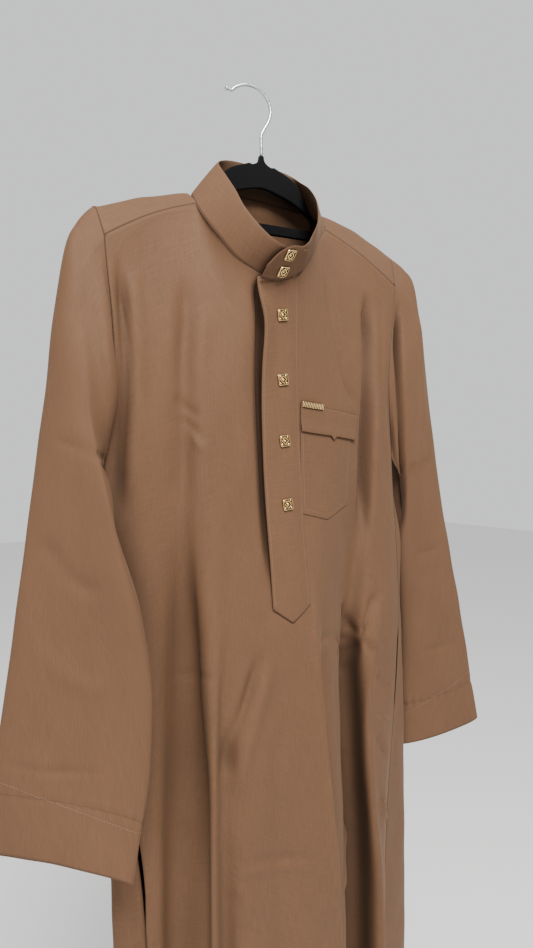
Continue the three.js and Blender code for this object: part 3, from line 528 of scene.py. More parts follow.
def sleeve_grid(side):
    """Sections at s = 0 (armhole) to 8 (cuff); the armhole's own shape fades out by (1 - s/2.2)^2."""
    table = SLEEVES[side]
    i = np.arange(SLEEVE_COLS) * LOOP / SLEEVE_COLS
    share = np.where(i <= CROWN, i, LOOP - i) / CROWN
    swell = np.sin(math.pi * share) ** 0.8
    s = np.linspace(0, 8, SLEEVE_ROWS + 1)
    ox, oy, _, ix, iy = table[-1, :5]
    cuff_facing = unit(np.array([oy - iy, ix - ox, 0.0]))
    cuff_facing *= -np.sign(cuff_facing[1])
    facing = unit(np.array([0, -1, 0]) + (cuff_facing - [0, -1, 0]) * smooth(0, 5, s)[:, None])

    def model(places, directions):
        rows = through(np.arange(len(table)), table, places)
        across = (0.5 - 0.5 * np.cos(math.pi * share))[None, :, None]
        flat = rows[:, None, 3:6] * (1 - across) + rows[:, None, 0:3] * across
        bulge = np.where(i <= CROWN, rows[:, 6:7] * swell, -rows[:, 7:8] * swell)
        return flat + directions[:, None] * bulge[..., None]

    miss = armhole(side, i) - model(s[:1], facing[:1])[0]
    grid = model(s, facing) + miss * (np.maximum(0, 1 - s / 2.2) ** 2)[:, None, None]
    in_front = np.where(i < CROWN, np.sin(math.pi * i / CROWN), 0)
    grid[..., 2] += CUFF_RISE[side] * smooth(6.4, 8, s)[:, None] * in_front
    return grid


sleeve_grids = {side: sleeve_grid(side) for side in SLEEVES}
print("sleeves", sleeve_grids["left"].shape[:2])

# %% [markdown]
# ## Creases
# Suiting that has lain folded keeps creases, and cloth on a hanger pulls from its high points. Each
# crease is given as a line over the cloth in x and z, its half width, and its depth outwards
# (a trough is negative). Its profile is a bell, it fades at both ends and wavers along its length.

# %% Crease tables
FRONT_CREASES = [
    # name, points (x, z), half width, depth
    ("armhole valley, right", [(-183, -222), (-180, -290), (-180, -360), (-186, -430), (-182, -500)],
     5, -9.0),
    ("armhole roll, right", [(-168, -226), (-166, -300), (-168, -400), (-172, -480)], 7, 3.0),
    ("chest trough, right", [(-112, -232), (-115, -280), (-119, -330), (-120, -400), (-121, -520)], 9, -6.0),
    ("chest ridge, right", [(-96, -260), (-101, -320), (-102, -400), (-100, -520)], 9, 2.4),
    ("chest trough, left", [(143, -218), (144, -283), (142, -357), (138, -444), (137, -540)], 8, -15),
    ("chest ridge, left", [(160, -240), (161, -330), (158, -430), (154, -530)], 8, 3.5),
    ("armhole roll, left", [(178, -226), (174, -300), (176, -380), (186, -440)], 6, 3.0),
    ("collar pull, left", [(60, -212), (72, -268), (96, -335), (124, -372)], 4, -3.4),
    ("collar pull ridge", [(76, -212), (92, -268), (114, -335)], 8, 1.2),
    ("placket gap", [(-46, -236), (-41, -256), (-36, -285), (-34, -330), (-32, -400), (-29, -480),
                     (-26, -580)], 6, -14),
    ("placket swell", [(-62, -246), (-58, -310), (-54, -380), (-50, -480)], 10, 1.6),
    ("wrinkle 1", [(-128, -362), (-116, -376), (-102, -386)], 3.4, -1.8),
    ("wrinkle 2", [(-122, -385), (-110, -396), (-98, -412)], 3.2, -1.6),
    ("wrinkle 3", [(-112, -404), (-104, -416), (-92, -424)], 3.0, 1.4),
    ("long fold, right", [(-40, -628), (-61, -691), (-75, -726), (-80, -770)], 6, -6.0),
    ("long fold ridge", [(-28, -640), (-46, -700), (-62, -745), (-68, -800)], 8, 3.6),
    ("fold mark, right", [(-132, -660), (-112, -657), (-87, -651)], 2.8, -1.6),
    ("fold mark, low", [(-80, -856), (-23, -864), (12, -872), (41, -886)], 3.4, -1.8),
    ("fold mark, low ridge", [(-78, -866), (-23, -874), (30, -885)], 4.2, 1.3),
    ("scuff", [(-72, -878), (-60, -905), (-66, -930)], 5, 2.0),
    ("deep trough, right", [(-120, -470), (-117, -682), (-115, -790), (-112, -950), (-106, -1400)], 10, -25),
    ("thin trough", [(-80, -600), (-83, -700), (-84, -787), (-81, -946), (-76, -1400)], 7.5, -4.5),
    ("middle swell", [(-20, -700), (-22, -800), (-20, -950), (-14, -1250)], 13, -3.0),
    ("sharp ridge", [(30, -540), (31, -660), (38, -747), (47, -838), (53, -899), (62, -1080),
                     (70, -1400)], 5, 5.0),
    ("ridge shadow", [(46, -575), (50, -660), (58, -747), (67, -838), (73, -899), (83, -1100),
                      (92, -1400)], 9, -9.0),
    ("fold mark, left", [(40, -634), (72, -639), (104, -656)], 2.8, -2.4),
    ("dark valley", [(118, -600), (119, -719), (126, -819), (131, -900), (138, -1100), (150, -1400)], 8, -17),
    ("panel ridge, left", [(180, -585), (157, -625), (146, -676), (137, -744), (138, -790), (143, -860),
                           (150, -930), (158, -1010), (163, -1200)], 6, 7.0),
    ("pull to the pocket 1", [(106, -604), (118, -632), (129, -652)], 4.0, -5.0),
    ("pull to the pocket 2", [(152, -596), (139, -626), (129, -652)], 4.0, -5.0),
    ("pull to the pocket 3", [(114, -712), (122, -678), (129, -652)], 4.0, -4.5),
    ("pull to the pocket 4", [(129, -652), (143, -668), (154, -690)], 3.6, -3.5),
    ("pull to the pocket 5", [(129, -652), (108, -661), (84, -664)], 3.2, -2.4),
    ("second ridge", [(124, -886), (108, -925), (93, -965)], 6, 4.0),
    ("side crease 1", [(150, -775), (166, -800), (184, -816)], 5, -4.0),
    ("side crease 2", [(156, -850), (170, -872), (186, -884)], 3.6, -3.5),
    ("side crease 3", [(158, -862), (172, -886), (186, -900)], 4.0, 2.8),
    ("side crease 4", [(148, -700), (166, -716), (186, -724)], 4.6, -3.0),
    ("pocket bag", [(134, -745), (155, -756), (184, -764)], 2.4, -1.6),
    ("skirt fold 1", [(-30, -1010), (-36, -1200), (-26, -1480)], 11, -6.0),
    ("skirt fold 2", [(20, -1060), (26, -1260), (30, -1500)], 12, 4.0),
    ("skirt mark", [(-90, -1120), (-20, -1112), (60, -1124), (120, -1140)], 3.2, -1.6),
]
BACK_CREASES = [
    ("yoke pleat, right", [(-78, -214), (-84, -300), (-92, -420), (-98, -560)], 7, -3.2),
    ("yoke pleat, left", [(92, -214), (96, -300), (100, -420), (96, -560)], 7, -3.2),
    ("centre pull", [(8, -214), (14, -330), (10, -470)], 9, 2.0),
    ("shoulder drape, right", [(-160, -232), (-120, -300), (-70, -352)], 7, -2.0),
    ("shoulder drape, left", [(168, -230), (130, -296), (84, -350)], 7, -2.0),
    ("fold mark, high", [(-120, -628), (-40, -634), (60, -628), (150, -636)], 3.0, -1.2),
    ("fold mark, middle", [(-110, -884), (-20, -890), (70, -884), (150, -892)], 3.0, -1.3),
    ("fold mark, low", [(-110, -1140), (0, -1146), (130, -1138)], 3.0, -1.2),
    ("long trough, right", [(-92, -560), (-98, -800), (-101, -1100), (-102, -1480)], 8, -6.0),
    ("long trough, left", [(94, -560), (92, -800), (96, -1100), (102, -1480)], 8, -6.0),
    ("waist wrinkle 1", [(20, -560), (48, -590), (60, -640)], 5, -2.0),
    ("waist wrinkle 2", [(-30, -700), (-8, -740), (2, -800)], 5, 1.8),
    ("middle fold", [(28, -820), (30, -1000), (26, -1300)], 9, -2.6),
    ("side wrinkle, left", [(200, -640), (176, -680), (158, -740)], 5, -2.4),
    ("side wrinkle, right", [(-176, -600), (-160, -660), (-150, -740)], 5, -2.2),
]
SLEEVE_CREASES = {
    "right": [
        ("fold mark, high", [(-252, -408), (-234, -416), (-214, -424), (-192, -428)], 3.0, -1.3),
        ("fold mark, low", [(-296, -716), (-256, -724), (-206, -728)], 3.0, -1.2),
        ("head fill", [(-203, -226), (-202, -320), (-197, -410), (-190, -500)], 13, 9.0),
        ("head fold", [(-226, -262), (-230, -330), (-226, -410)], 9, -1.2),
        ("elbow pull 1", [(-262, -500), (-238, -540), (-212, -560)], 7, -1.6),
        ("elbow pull 2", [(-272, -600), (-236, -640), (-204, -650)], 8, 1.4),
        ("fore fold", [(-228, -560), (-236, -660), (-246, -780)], 11, -1.8),
        ("cuff swell", [(-262, -690), (-270, -760), (-276, -815)], 12, 1.6),
    ],
    "left": [
        ("fold mark, high", [(226, -446), (250, -440), (274, -430)], 3.0, -1.3),
        ("fold mark, middle", [(250, -560), (274, -556), (300, -548)], 3.2, -1.4),
        ("fold mark, low", [(262, -700), (296, -694), (326, -690)], 3.0, -1.2),
        ("armhole valley", [(203, -218), (201, -270), (203, -330), (212, -400), (222, -470), (229, -540)],
         5.5, -13),
        ("head fold 2", [(242, -232), (248, -310), (256, -400)], 8, 2.0),
        ("inner fold", [(238, -430), (252, -520), (270, -620)], 9, -2.2),
        ("fore fold", [(280, -520), (298, -640), (312, -770)], 10, 1.8),
    ],
}


# %% Crease function
def crease_relief(x, z, creases):
    """Sum over creases of depth * exp(-(d/w)^2), with d the distance to the crease's curve.

    Each fades over the last fifth at both ends, and its depth wavers by a fifth along its length.
    """
    relief = np.zeros(x.shape)
    for number, (_, line, width, depth) in enumerate(creases):
        flat = np.array([(px, 0, pz) for px, pz in line], float)
        path = along(flat, np.linspace(0, 1, 8 * len(line)))[:, [0, 2]]
        reach = 3 * width
        near = (x > path[:, 0].min() - reach) & (x < path[:, 0].max() + reach)
        near &= (z > path[:, 1].min() - reach) & (z < path[:, 1].max() + reach)
        if not near.any():
            continue
        point = np.stack([x[near], z[near]], -1)[:, None]
        begin, run = path[:-1], np.diff(path, axis=0)
        t = np.clip(((point - begin) * run).sum(-1) / (run**2).sum(-1), 0, 1)
        gap = np.linalg.norm(point - begin - run * t[..., None], axis=-1)
        nearest = gap.argmin(1)
        pick = np.arange(len(nearest))
        share = (nearest + t[pick, nearest]) / len(run)
        fade = smooth(0, 0.2, share) * smooth(0, 0.2, 1 - share)
        waver = 1 + 0.2 * np.sin(11 * share + 1.7 * number)
        relief[near] += depth * fade * waver * np.exp(-(gap[pick, nearest] / width) ** 2)
    return relief


def limpness(x, z, seed, size=0.35):
    """Sum of eight plane waves 35 to 130 mm long with seeded directions, as worn cloth is never flat."""
    rng = np.random.default_rng(seed)
    relief = np.zeros(x.shape)
    for _ in range(8):
        length = rng.uniform(35, 130)
        angle = rng.uniform(-0.9, 0.9)
        phase = rng.uniform(0, 2 * math.pi)
        relief += np.sin(2 * math.pi * (x * math.cos(angle) + z * math.sin(angle)) / length + phase)
    return size * relief / 2


# %% [markdown]
# ## From grids to meshes
# A piece of cloth is a closed wall: the grid of its outer side, the same grid moved inwards by the
# cloth's thickness, and a rim. Two attributes travel with it for the material: the distance from the
# nearest seam, and the distance from the line of hem stitching.

# %% Mesh helpers
def grid_normals(grid, side, wrap=False):
    """Cross product of the two central differences, times side."""
    if wrap:
        across = np.roll(grid, -1, 1) - np.roll(grid, 1, 1)
    else:
        ends = grid[:, 1:2] - grid[:, :1], grid[:, -1:] - grid[:, -2:-1]
        across = np.concatenate([ends[0], grid[:, 2:] - grid[:, :-2], ends[1]], 1)
    down = np.concatenate([grid[1:2] - grid[:1], grid[2:] - grid[:-2], grid[-1:] - grid[-2:-1]], 0)
    return side * unit(np.cross(across, down))


def arc_lengths(grid, axis):
    """Length along the grid's rows (axis 1) or columns (axis 0), in millimetres, from its start."""
    run = np.linalg.norm(np.diff(grid, axis=axis), axis=-1)
    start = np.zeros_like(np.take(run, [0], axis=axis))
    return np.concatenate([start, np.cumsum(run, axis=axis)], axis=axis)


def wall_faces(rows, cols, side, wrap=False, kept=None):
    """Quads of the outer grid, the inner grid after it, and the rims where a cell has no neighbour."""
    ids = np.arange(rows * cols).reshape(rows, cols)
    if wrap:
        ids = np.concatenate([ids, ids[:, :1]], 1)
    a, b, c, d = ids[:-1, :-1], ids[:-1, 1:], ids[1:, 1:], ids[1:, :-1]
    kept = np.ones(a.shape, bool) if kept is None else kept
    inner = rows * cols
    ring = np.pad(kept, 1)
    if wrap:
        ring[1:-1, 0], ring[1:-1, -1] = kept[:, -1], kept[:, 0]
    bare = lambda beside: kept & ~beside
    groups = [
        (kept, (a, b, c, d)),
        (kept, (d + inner, c + inner, b + inner, a + inner)),
        (bare(ring[:-2, 1:-1]), (a + inner, b + inner, b, a)),
        (bare(ring[2:, 1:-1]), (d, c, c + inner, d + inner)),
        (bare(ring[1:-1, :-2]), (a + inner, a, d, d + inner)),
        (bare(ring[1:-1, 2:]), (b, b + inner, c + inner, c)),
    ]
    quads = np.concatenate([np.stack([corner[mask] for corner in corners], -1) for mask, corners in groups])
    return quads if side > 0 else quads[:, ::-1]


def ring_faces(rows, cols):
    """Quads between neighbouring rings of points, each ring closed, seen from outside."""
    ids = np.arange(rows * cols).reshape(rows, cols)
    beside = np.roll(ids, -1, 1)
    return np.stack([ids[:-1], ids[1:], beside[1:], beside[:-1]], -1).reshape(-1, 4)


TURNED_OVER = [0, 3, 2, 1]     # the corners of a quad in the other order


def make_mesh(name, points, faces, material, node=None, uv=None, marks=None):
    """A piece from points in the garment's millimetres, which rides on the body and fills a slot.

    Where node is given, the piece takes that solid's place. UV and attributes are optional.
    """
    mesh = bpy.data.meshes.new(name)
    mesh.from_pydata(((points - BEARING) / 1000).tolist(), [], np.asarray(faces).tolist())
    mesh.polygons.foreach_set("use_smooth", np.ones(len(mesh.polygons), bool))
    if uv is not None:
        corner = np.empty(len(mesh.loops), np.int32)
        mesh.loops.foreach_get("vertex_index", corner)
        layer = mesh.uv_layers.new(name="cloth")
        layer.data.foreach_set("uv", (uv[corner] / 1000).astype(np.float32).ravel())
    for key, values in (marks or {}).items():
        mesh.attributes.new(key, "FLOAT", "POINT").data.foreach_set("value", values.astype(np.float32))
    mesh.materials.append(material)
    mesh.update()
    piece = bpy.data.objects.new(name, mesh)
    bpy.context.scene.collection.objects.link(piece)
    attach(piece, "root")
    if node:
        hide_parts(node)
    return piece


def cloth_piece(name, node, outer, inner, side, seam=None, hem=None, wrap=False, kept=None, uv_col=0):
    """A closed wall between two grids, with its UV from arc lengths and its two attributes."""
    rows, cols = outer.shape[:2]
    across = arc_lengths(outer, 1)
    across -= across[:, uv_col, None]
    uv = np.stack([across, arc_lengths(outer, 0)], -1).reshape(-1, 2)
    far = np.full(rows * cols, FAR)
    marks = {
        "seam_mm": np.tile(far if seam is None else seam.ravel(), 2),
        "hem_mm": np.tile(far if hem is None else hem.ravel(), 2),
    }
    points = np.concatenate([outer.reshape(-1, 3), inner.reshape(-1, 3)])
    faces = wall_faces(rows, cols, side, wrap, kept)
    piece = make_mesh(name, points, faces, SUITING, node, np.tile(uv, (2, 1)), marks)
    area = np.linalg.norm(np.cross(np.diff(outer[:-1], axis=1), np.diff(outer[:, :-1], axis=0)), axis=-1)
    print(f"{name}: {2 * len(faces)} triangles, {area.sum() / 1e6:.3f} square metres of cloth")
    return piece


# %% [markdown]
# ## Finishes
# Colours are sRGB values turned to linear light by one function, and one small function adds a node
# with its settings and links. Four finishes cover everything: suiting, gilt, flock and chrome.

# %% Colour and node helpers
def colour(code):
    """Linear RGBA of an sRGB hex code: c/12.92 below 0.04045, else ((c + 0.055)/1.055)^2.4."""
    parts = np.array([int(code[k:k + 2], 16) / 255 for k in (1, 3, 5)])
    linear = np.where(parts <= 0.04045, parts / 12.92, ((parts + 0.055) / 1.055) ** 2.4)
    return (*linear.tolist(), 1.0)


def fill(tree, node, inputs):
    """Gives a node's inputs their values, or links them to sockets or to nodes' first outputs."""
    for key, value in inputs.items():
        if isinstance(value, bpy.types.Node):
            value = value.outputs[0]
        if isinstance(value, bpy.types.NodeSocket):
            tree.links.new(value, node.inputs[key])
        else:
            node.inputs[key].default_value = value


def add_node(tree, kind, inputs=None, **settings):
    """Adds a node, sets its properties, and fills its inputs."""
    node = tree.nodes.new("ShaderNode" + kind)
    for key, value in settings.items():
        setattr(node, key, value)
    fill(tree, node, inputs or {})
    return node


def remap(tree, value, low, high, to_low, to_high):
    """A map of the range low..high to to_low..to_high, clamped."""
    return add_node(tree, "MapRange", {0: value, 1: low, 2: high, 3: to_low, 4: to_high})


def noise(tree, vector, scale, detail):
    """Noise of a scale and detail over a vector."""
    return add_node(tree, "TexNoise", {"Vector": vector, "Scale": scale, "Detail": detail})


def tint(tree, share, first, second):
    """A colour between two hex codes."""
    return add_node(tree, "MixRGB", {0: share, 1: colour(first), 2: colour(second)})


def times(tree, *factors):
    """The product of several values."""
    product = factors[0]
    for factor in factors[1:]:
        product = add_node(tree, "Math", {0: product, 1: factor}, operation="MULTIPLY")
    return product


def plus_times(tree, base, value, factor):
    """base + value * factor."""
    return add_node(tree, "Math", {0: value, 1: factor, 2: base}, operation="MULTIPLY_ADD")


def new_material(name):
    """An empty node material with its Principled shader, as (material, tree, shader)."""
    material = bpy.data.materials.new(name)
    material.use_nodes = True
    tree = material.node_tree
    return material, tree, tree.nodes["Principled BSDF"]


# %% [markdown]
# **Suiting.** A wool and polyester blend woven as a fine twill, pressed smooth. Real yarns are 0.4 mm
# apart, which is too fine to show, so the diagonal is drawn 1.5 mm wide and the yarn streaks 1.2 mm.
# Pressed wool shines a little at low angles: sheen does that, with a fairly low roughness. Deep in a
# fold less light reaches the cloth, so ambient occlusion within 55 mm paints that shade into the colour.

# %% Woven suiting
def woven_suiting():
    """Twill of two yarn directions with streaks, painted shade beside seams and in folds, puckered along
    stitching.
    """
    material, tree, shader = new_material("woven_suiting")
    uv = add_node(tree, "UVMap", uv_map="cloth")
    scaled = lambda *scale: add_node(tree, "Mapping", {"Vector": uv, "Scale": scale})
    warp = noise(tree, scaled(850, 45, 1), 1.0, 2.0)
    weft = noise(tree, scaled(45, 850, 1), 1.0, 2.0)
    yarns = add_node(tree, "Math", {0: warp, 1: weft}, operation="ADD")
    streak = remap(tree, yarns, 0.7, 1.3, 0.0, 1.0)
    millimetres = scaled(1000, 1000, 1)
    waves = {"Vector": millimetres, "Scale": 0.21, "Distortion": 0.6, "Detail": 1.0}
    twill = add_node(tree, "TexWave", waves, wave_type="BANDS", bands_direction="DIAGONAL")
    patch = noise(tree, scaled(9, 5, 1), 1.0, 3.0)
    body = tint(tree, streak, "#4e3726", "#573d2a")
    patchy = remap(tree, patch, 0.3, 0.7, 0.93, 1.05)
    # painted shade beside seams: the colour darkens within 1.3 mm of a seam; the same value also sinks a
    # groove in the bump
    seam = add_node(tree, "Attribute", attribute_name="seam_mm").outputs["Fac"]
    seam_groove_and_shade = remap(tree, seam, 0.0, 1.3, 0.55, 1.0)
    hem_mm = add_node(tree, "Attribute", attribute_name="hem_mm").outputs["Fac"]
    hem = add_node(tree, "Math", {0: hem_mm}, operation="ABSOLUTE")
    hem_dark = remap(tree, hem, 0.0, 1.2, 0.8, 1.0)
    # painted shade: ambient occlusion within 55 mm darkens the cloth's colour deep in folds, where less light
    # reaches
    hollow = add_node(tree, "AmbientOcclusion", {"Distance": 0.055}, samples=8)
    painted_fold_shade = remap(tree, hollow.outputs["AO"], 0.25, 0.85, 0.34, 1.0)
    # the darkening: random patches, the hem's stitch line, and painted shade in folds and beside seams
    dark = times(tree, patchy, painted_fold_shade, seam_groove_and_shade, hem_dark)
    shade = add_node(tree, "VectorMath", {0: body, "Scale": dark}, operation="SCALE")
    pucker = times(tree, noise(tree, millimetres, 0.12, 2.0), remap(tree, hem, 0.0, 9.0, 1.0, 0.0))
    height = times(tree, twill.outputs["Fac"], 0.10)
    for value, weight in ((streak, 0.06), (pucker, 1.6), (seam_groove_and_shade, 0.8)):
        height = plus_times(tree, height, value, weight)
    fill(tree, shader, {
        "Base Color": shade,
        "Roughness": remap(tree, streak, 0.0, 1.0, 0.76, 0.68),
        "Normal": add_node(tree, "Bump", {"Height": height, "Strength": 0.8, "Distance": 0.0004}),
        "Specular IOR Level": 0.16,
        "Sheen Weight": 0.07,
        "Sheen Roughness": 0.5,
        "Sheen Tint": colour("#d9b593"),
    })
    return material


SUITING = woven_suiting()


# %% [markdown]
# **Sewing thread** is polyester, spun in the cloth's own brown and a little glossier.
# **Gilt** is a thin gold-coloured plating on cast buttons: metallic, nearly polished, with a darker
# film left in its hollows. **Flock** is short rayon pile, so black that only its sheen is seen.
# **Chrome** is plating on steel wire.

# %% Thread, gilt, flock and chrome
def sewing_thread():
    """Spun thread: fine diagonal plies across the brown of the cloth."""
    material, tree, shader = new_material("spun_thread")
    plies = noise(tree, add_node(tree, "TexCoord").outputs["Object"], 2500.0, 1.0)
    fill(tree, shader, {"Base Color": tint(tree, plies, "#4a3424", "#755640"), "Roughness": 0.5})
    return material


def gilt_plate():
    """Gold-coloured plating: bright on edges, browned in hollows by ambient occlusion."""
    material, tree, shader = new_material("gilt_plating")
    hollow = add_node(tree, "AmbientOcclusion", {"Distance": 0.0022}, samples=8)
    film = remap(tree, hollow.outputs["AO"], 0.45, 0.95, 0.0, 1.0)
    wear = noise(tree, add_node(tree, "TexCoord").outputs["Object"], 900.0, 3.0)
    fill(tree, shader, {
        "Base Color": tint(tree, film, "#4a2b0c", "#ecc98c"),
        "Roughness": remap(tree, wear, 0.3, 0.7, 0.20, 0.34),
        "Metallic": 1.0,
    })
    return material


def black_flock():
    """Short pile: black, rough, with a grain of 0.6 mm and a weak grey sheen."""
    material, tree, shader = new_material("flocked_velvet")
    pile = noise(tree, add_node(tree, "TexCoord").outputs["Object"], 1600.0, 2.0)
    fill(tree, shader, {
        "Base Color": tint(tree, pile, "#020203", "#09090a"),
        "Normal": add_node(tree, "Bump", {"Height": pile, "Strength": 0.5, "Distance": 0.0003}),
        "Roughness": 0.95,
        "Specular IOR Level": 0.1,
        "Sheen Weight": 0.03,
    })
    return material


def chrome_wire():
    """Plated steel: mirror bright, with faint drawing lines that change its roughness."""
    material, tree, shader = new_material("chrome_plating")
    lines = noise(tree, add_node(tree, "TexCoord").outputs["Object"], 420.0, 2.0)
    fill(tree, shader, {
        "Base Color": tint(tree, lines, "#9a9da0", "#c4c7ca"),
        "Roughness": remap(tree, lines, 0.3, 0.7, 0.2, 0.34),
        "Metallic": 1.0,
    })
    return material


THREAD, GILT, FLOCK, CHROME = sewing_thread(), gilt_plate(), black_flock(), chrome_wire()
print("materials:", [m.name for m in bpy.data.materials])


# %% [markdown]
# ## Panels, yoke and sleeves
# The creases move the outer grid along its normals, and fade out within 10 mm of a seam, so that
# neighbours still meet there. Each piece then becomes a wall.

# %% Cloth panels
def trimmed(grid, wrap=False):
    """Pulls the grid's edges back by SEAM from the seam lines."""
    grid = grid.copy()
    pull = lambda p, q: p + unit(q - p) * SEAM
    grid[0], grid[-1] = pull(grid[0], grid[1]), pull(grid[-1], grid[-2])
    if not wrap:
        grid[:, 0], grid[:, -1] = pull(grid[:, 0], grid[:, 1]), pull(grid[:, -1], grid[:, -2])
    return grid


def seam_distance(grid, wrap=False, foot=False):
    """Distance in millimetres to the nearest sewn edge: top, both sides, and the foot if it is sewn."""
    down = arc_lengths(grid, 0)
    gap = down.copy()
    if foot:
        gap = np.minimum(gap, down[-1:] - down)
    if not wrap:
        across = arc_lengths(grid, 1)
        gap = np.minimum(gap, np.minimum(across, across[:, -1:] - across))
    return gap


def creased(grid, side, relief, seam, wrap=False):
    """The grid moved along its normals by relief, which fades to nothing at seams."""
    return grid + grid_normals(grid, side, wrap) * (relief * smooth(0, 10, seam))[..., None]


def surface_of(grid, side, creases, seed, size=0.35, wrap=False, foot=False, extra=0):
    """The grid with its creases, its limpness and extra relief, and the distance to its seams."""
    x, z = grid[..., 0], grid[..., 2]
    seam = seam_distance(grid, wrap, foot)
    relief = crease_relief(x, z, creases) + limpness(x, z, seed, size) + extra
    return creased(grid, side, relief, seam, wrap), seam


def panel_piece(name, node, surface, side, seam, hem=None, wrap=False, kept=None):
    """A wall CLOTH thick under a panel's outer surface, with its edges pulled back from the seams."""
    outer = trimmed(surface, wrap)
    inner = outer - grid_normals(outer, side, wrap) * CLOTH
    return cloth_piece(name, node, outer, inner, side, seam, hem, wrap, kept, uv_col=outer.shape[1] // 2)


# %% [markdown]
# The front keeps a second surface without creases, for the pieces that lie on it. Under the placket
# its slit is open.

# %% Front
front_surface, front_seam_mm = surface_of(front_grid, -1, FRONT_CREASES, seed=1)
front_smooth, _ = surface_of(front_grid, -1, [], seed=1)
front_hem = front_grid[..., 2] - HEM_Z - HEM_STITCH
slit_cell = len(right_cols) - 1
slit = front_grid[1:, slit_cell]
placket_middle = through(PLACKET_Z, PLACKET_X, slit[:, 2])
covered = np.abs(slit[:, 0] - placket_middle) < PLACKET_WIDTH / 2 - 2
front_kept = np.ones((front_grid.shape[0] - 1, front_grid.shape[1] - 1), bool)
front_kept[:, slit_cell] = (slit[:, 2] <= PLACKET_END_Z) | ~covered
front = panel_piece("front_panel", "front", front_surface, -1, front_seam_mm, front_hem, kept=front_kept)

# %% Back and yoke
back_surface, back_seam_mm = surface_of(back_grid, 1, BACK_CREASES, seed=2)
back_hem = back_grid[..., 2] - HEM_Z - HEM_STITCH
back = panel_piece("back_panel", "back", back_surface, 1, back_seam_mm, back_hem)
yoke_surface, yoke_seam_mm = surface_of(yoke_grid, 1, [], seed=3, size=0.25, foot=True)
yoke = panel_piece("back_yoke", "yoke", yoke_surface, 1, yoke_seam_mm)

# %% Sleeves with their cuffs
SLEEVE_SIDE = {"right": 1, "left": -1}
SLEEVE_SEED = {"right": 4, "left": 5}


def hem_pucker(hem, across):
    """A groove along the stitching, with a pucker every 13 mm that dies out 7 mm away from it."""
    groove = -0.9 * np.exp(-(hem / 2.2) ** 2)
    waves = np.sin(2 * math.pi * across / 13 + 0.9 * np.sin(across / 31))
    return groove + 0.7 * waves * np.exp(-(hem / 7) ** 2)


sleeves, sleeve_surfaces, sleeve_hems = {}, {}, {}
for side, grid in sleeve_grids.items():
    down = arc_lengths(grid, 0)
    from_cuff = (down[-1:] - down) - CUFF_STITCH
    pucker = hem_pucker(from_cuff, arc_lengths(grid, 1))
    surface, seam_mm = surface_of(grid, SLEEVE_SIDE[side], SLEEVE_CREASES[side], SLEEVE_SEED[side],
                                  wrap=True, extra=pucker)
    sleeve_hems[side] = from_cuff
    sleeve_surfaces[side] = surface
    sleeves[side] = panel_piece(f"{side}_sleeve", f"sleeve_{side}", surface, SLEEVE_SIDE[side], seam_mm,
                                from_cuff, wrap=True)

# %% [markdown]
# ## Stand collar
# The collar is two layers and an interlining, so it is thick enough for its edges to be round. Its
# wall is worked out from the middle surface: half the thickness to each side, drawn in at the free
# edge by sqrt(1 - e^8), where e runs from 0 halfway up to 1 at that edge.

# %% Collar
COLLAR_ROWS = 24
TUCK = 1.8           # the collar's lower edge reaches this far past its seam
collar_s = np.linspace(0, STATIONS, STATIONS * 8 + 1)
over_seam = np.concatenate([neck_seam([STATIONS]), COLLAR_OVER[:, 0]])
over_edge = np.concatenate([neck_edge([STATIONS]), COLLAR_OVER[:, 1]])
over_t = np.linspace(0, 1, 33)[1:]
low_line = np.concatenate([neck_seam(collar_s), along(over_seam, over_t)])
high_line = np.concatenate([neck_edge(collar_s), along(over_edge, over_t)])


def collar_wall():
    """Outer and inner grids of the collar, rounded at its free edge and ends, tucked in at its seam."""
    up = 0.5 - 0.5 * np.cos(np.linspace(0, math.pi, COLLAR_ROWS + 1))
    height = np.linalg.norm(high_line - low_line, axis=1).mean()
    start = -TUCK / height
    outer = low_line + (high_line - low_line) * (start + (1 - start) * up)[:, None, None]
    normals = grid_normals(outer, -1)
    proud = 0.3 + 0.5 * np.sin(math.pi * up)
    outer = outer + normals * proud[:, None, None]
    length = arc_lengths(outer, 1)
    to_end = np.minimum(length, length[:, -1:] - length)
    edge = np.clip(2 * up - 1, 0, 1)[:, None] ** 8
    thick = COLLAR_WALL * np.sqrt(np.maximum(1 - edge, 0.02)) * np.sqrt(np.clip(to_end / 1.2, 0.1, 1))
    middle = outer - normals * COLLAR_WALL / 2
    return middle + normals * thick[..., None] / 2, middle - normals * thick[..., None] / 2


collar_outer, collar_inner = collar_wall()


collar_seam_mm = np.maximum(arc_lengths(collar_outer, 0) - TUCK, 0)
collar = cloth_piece("stand_collar", "collar", collar_outer, collar_inner, -1, collar_seam_mm)


# %% [markdown]
# ## What lies on the front
# Placket, pocket and band are patches over the front: each of their points is a point of the front
# without its creases, moved out, so that these stiffer pieces bridge the creases beneath them. The
# front's height there is read from the tangent planes of its nearest points.

# %% Patches on the front
front_points = front_smooth.reshape(-1, 3)
front_normals = grid_normals(front_smooth, -1).reshape(-1, 3)
chest = (front_points[:, 2] > -640) & (np.abs(front_points[:, 0] - 40) < 120)
front_points, front_normals = front_points[chest], front_normals[chest]


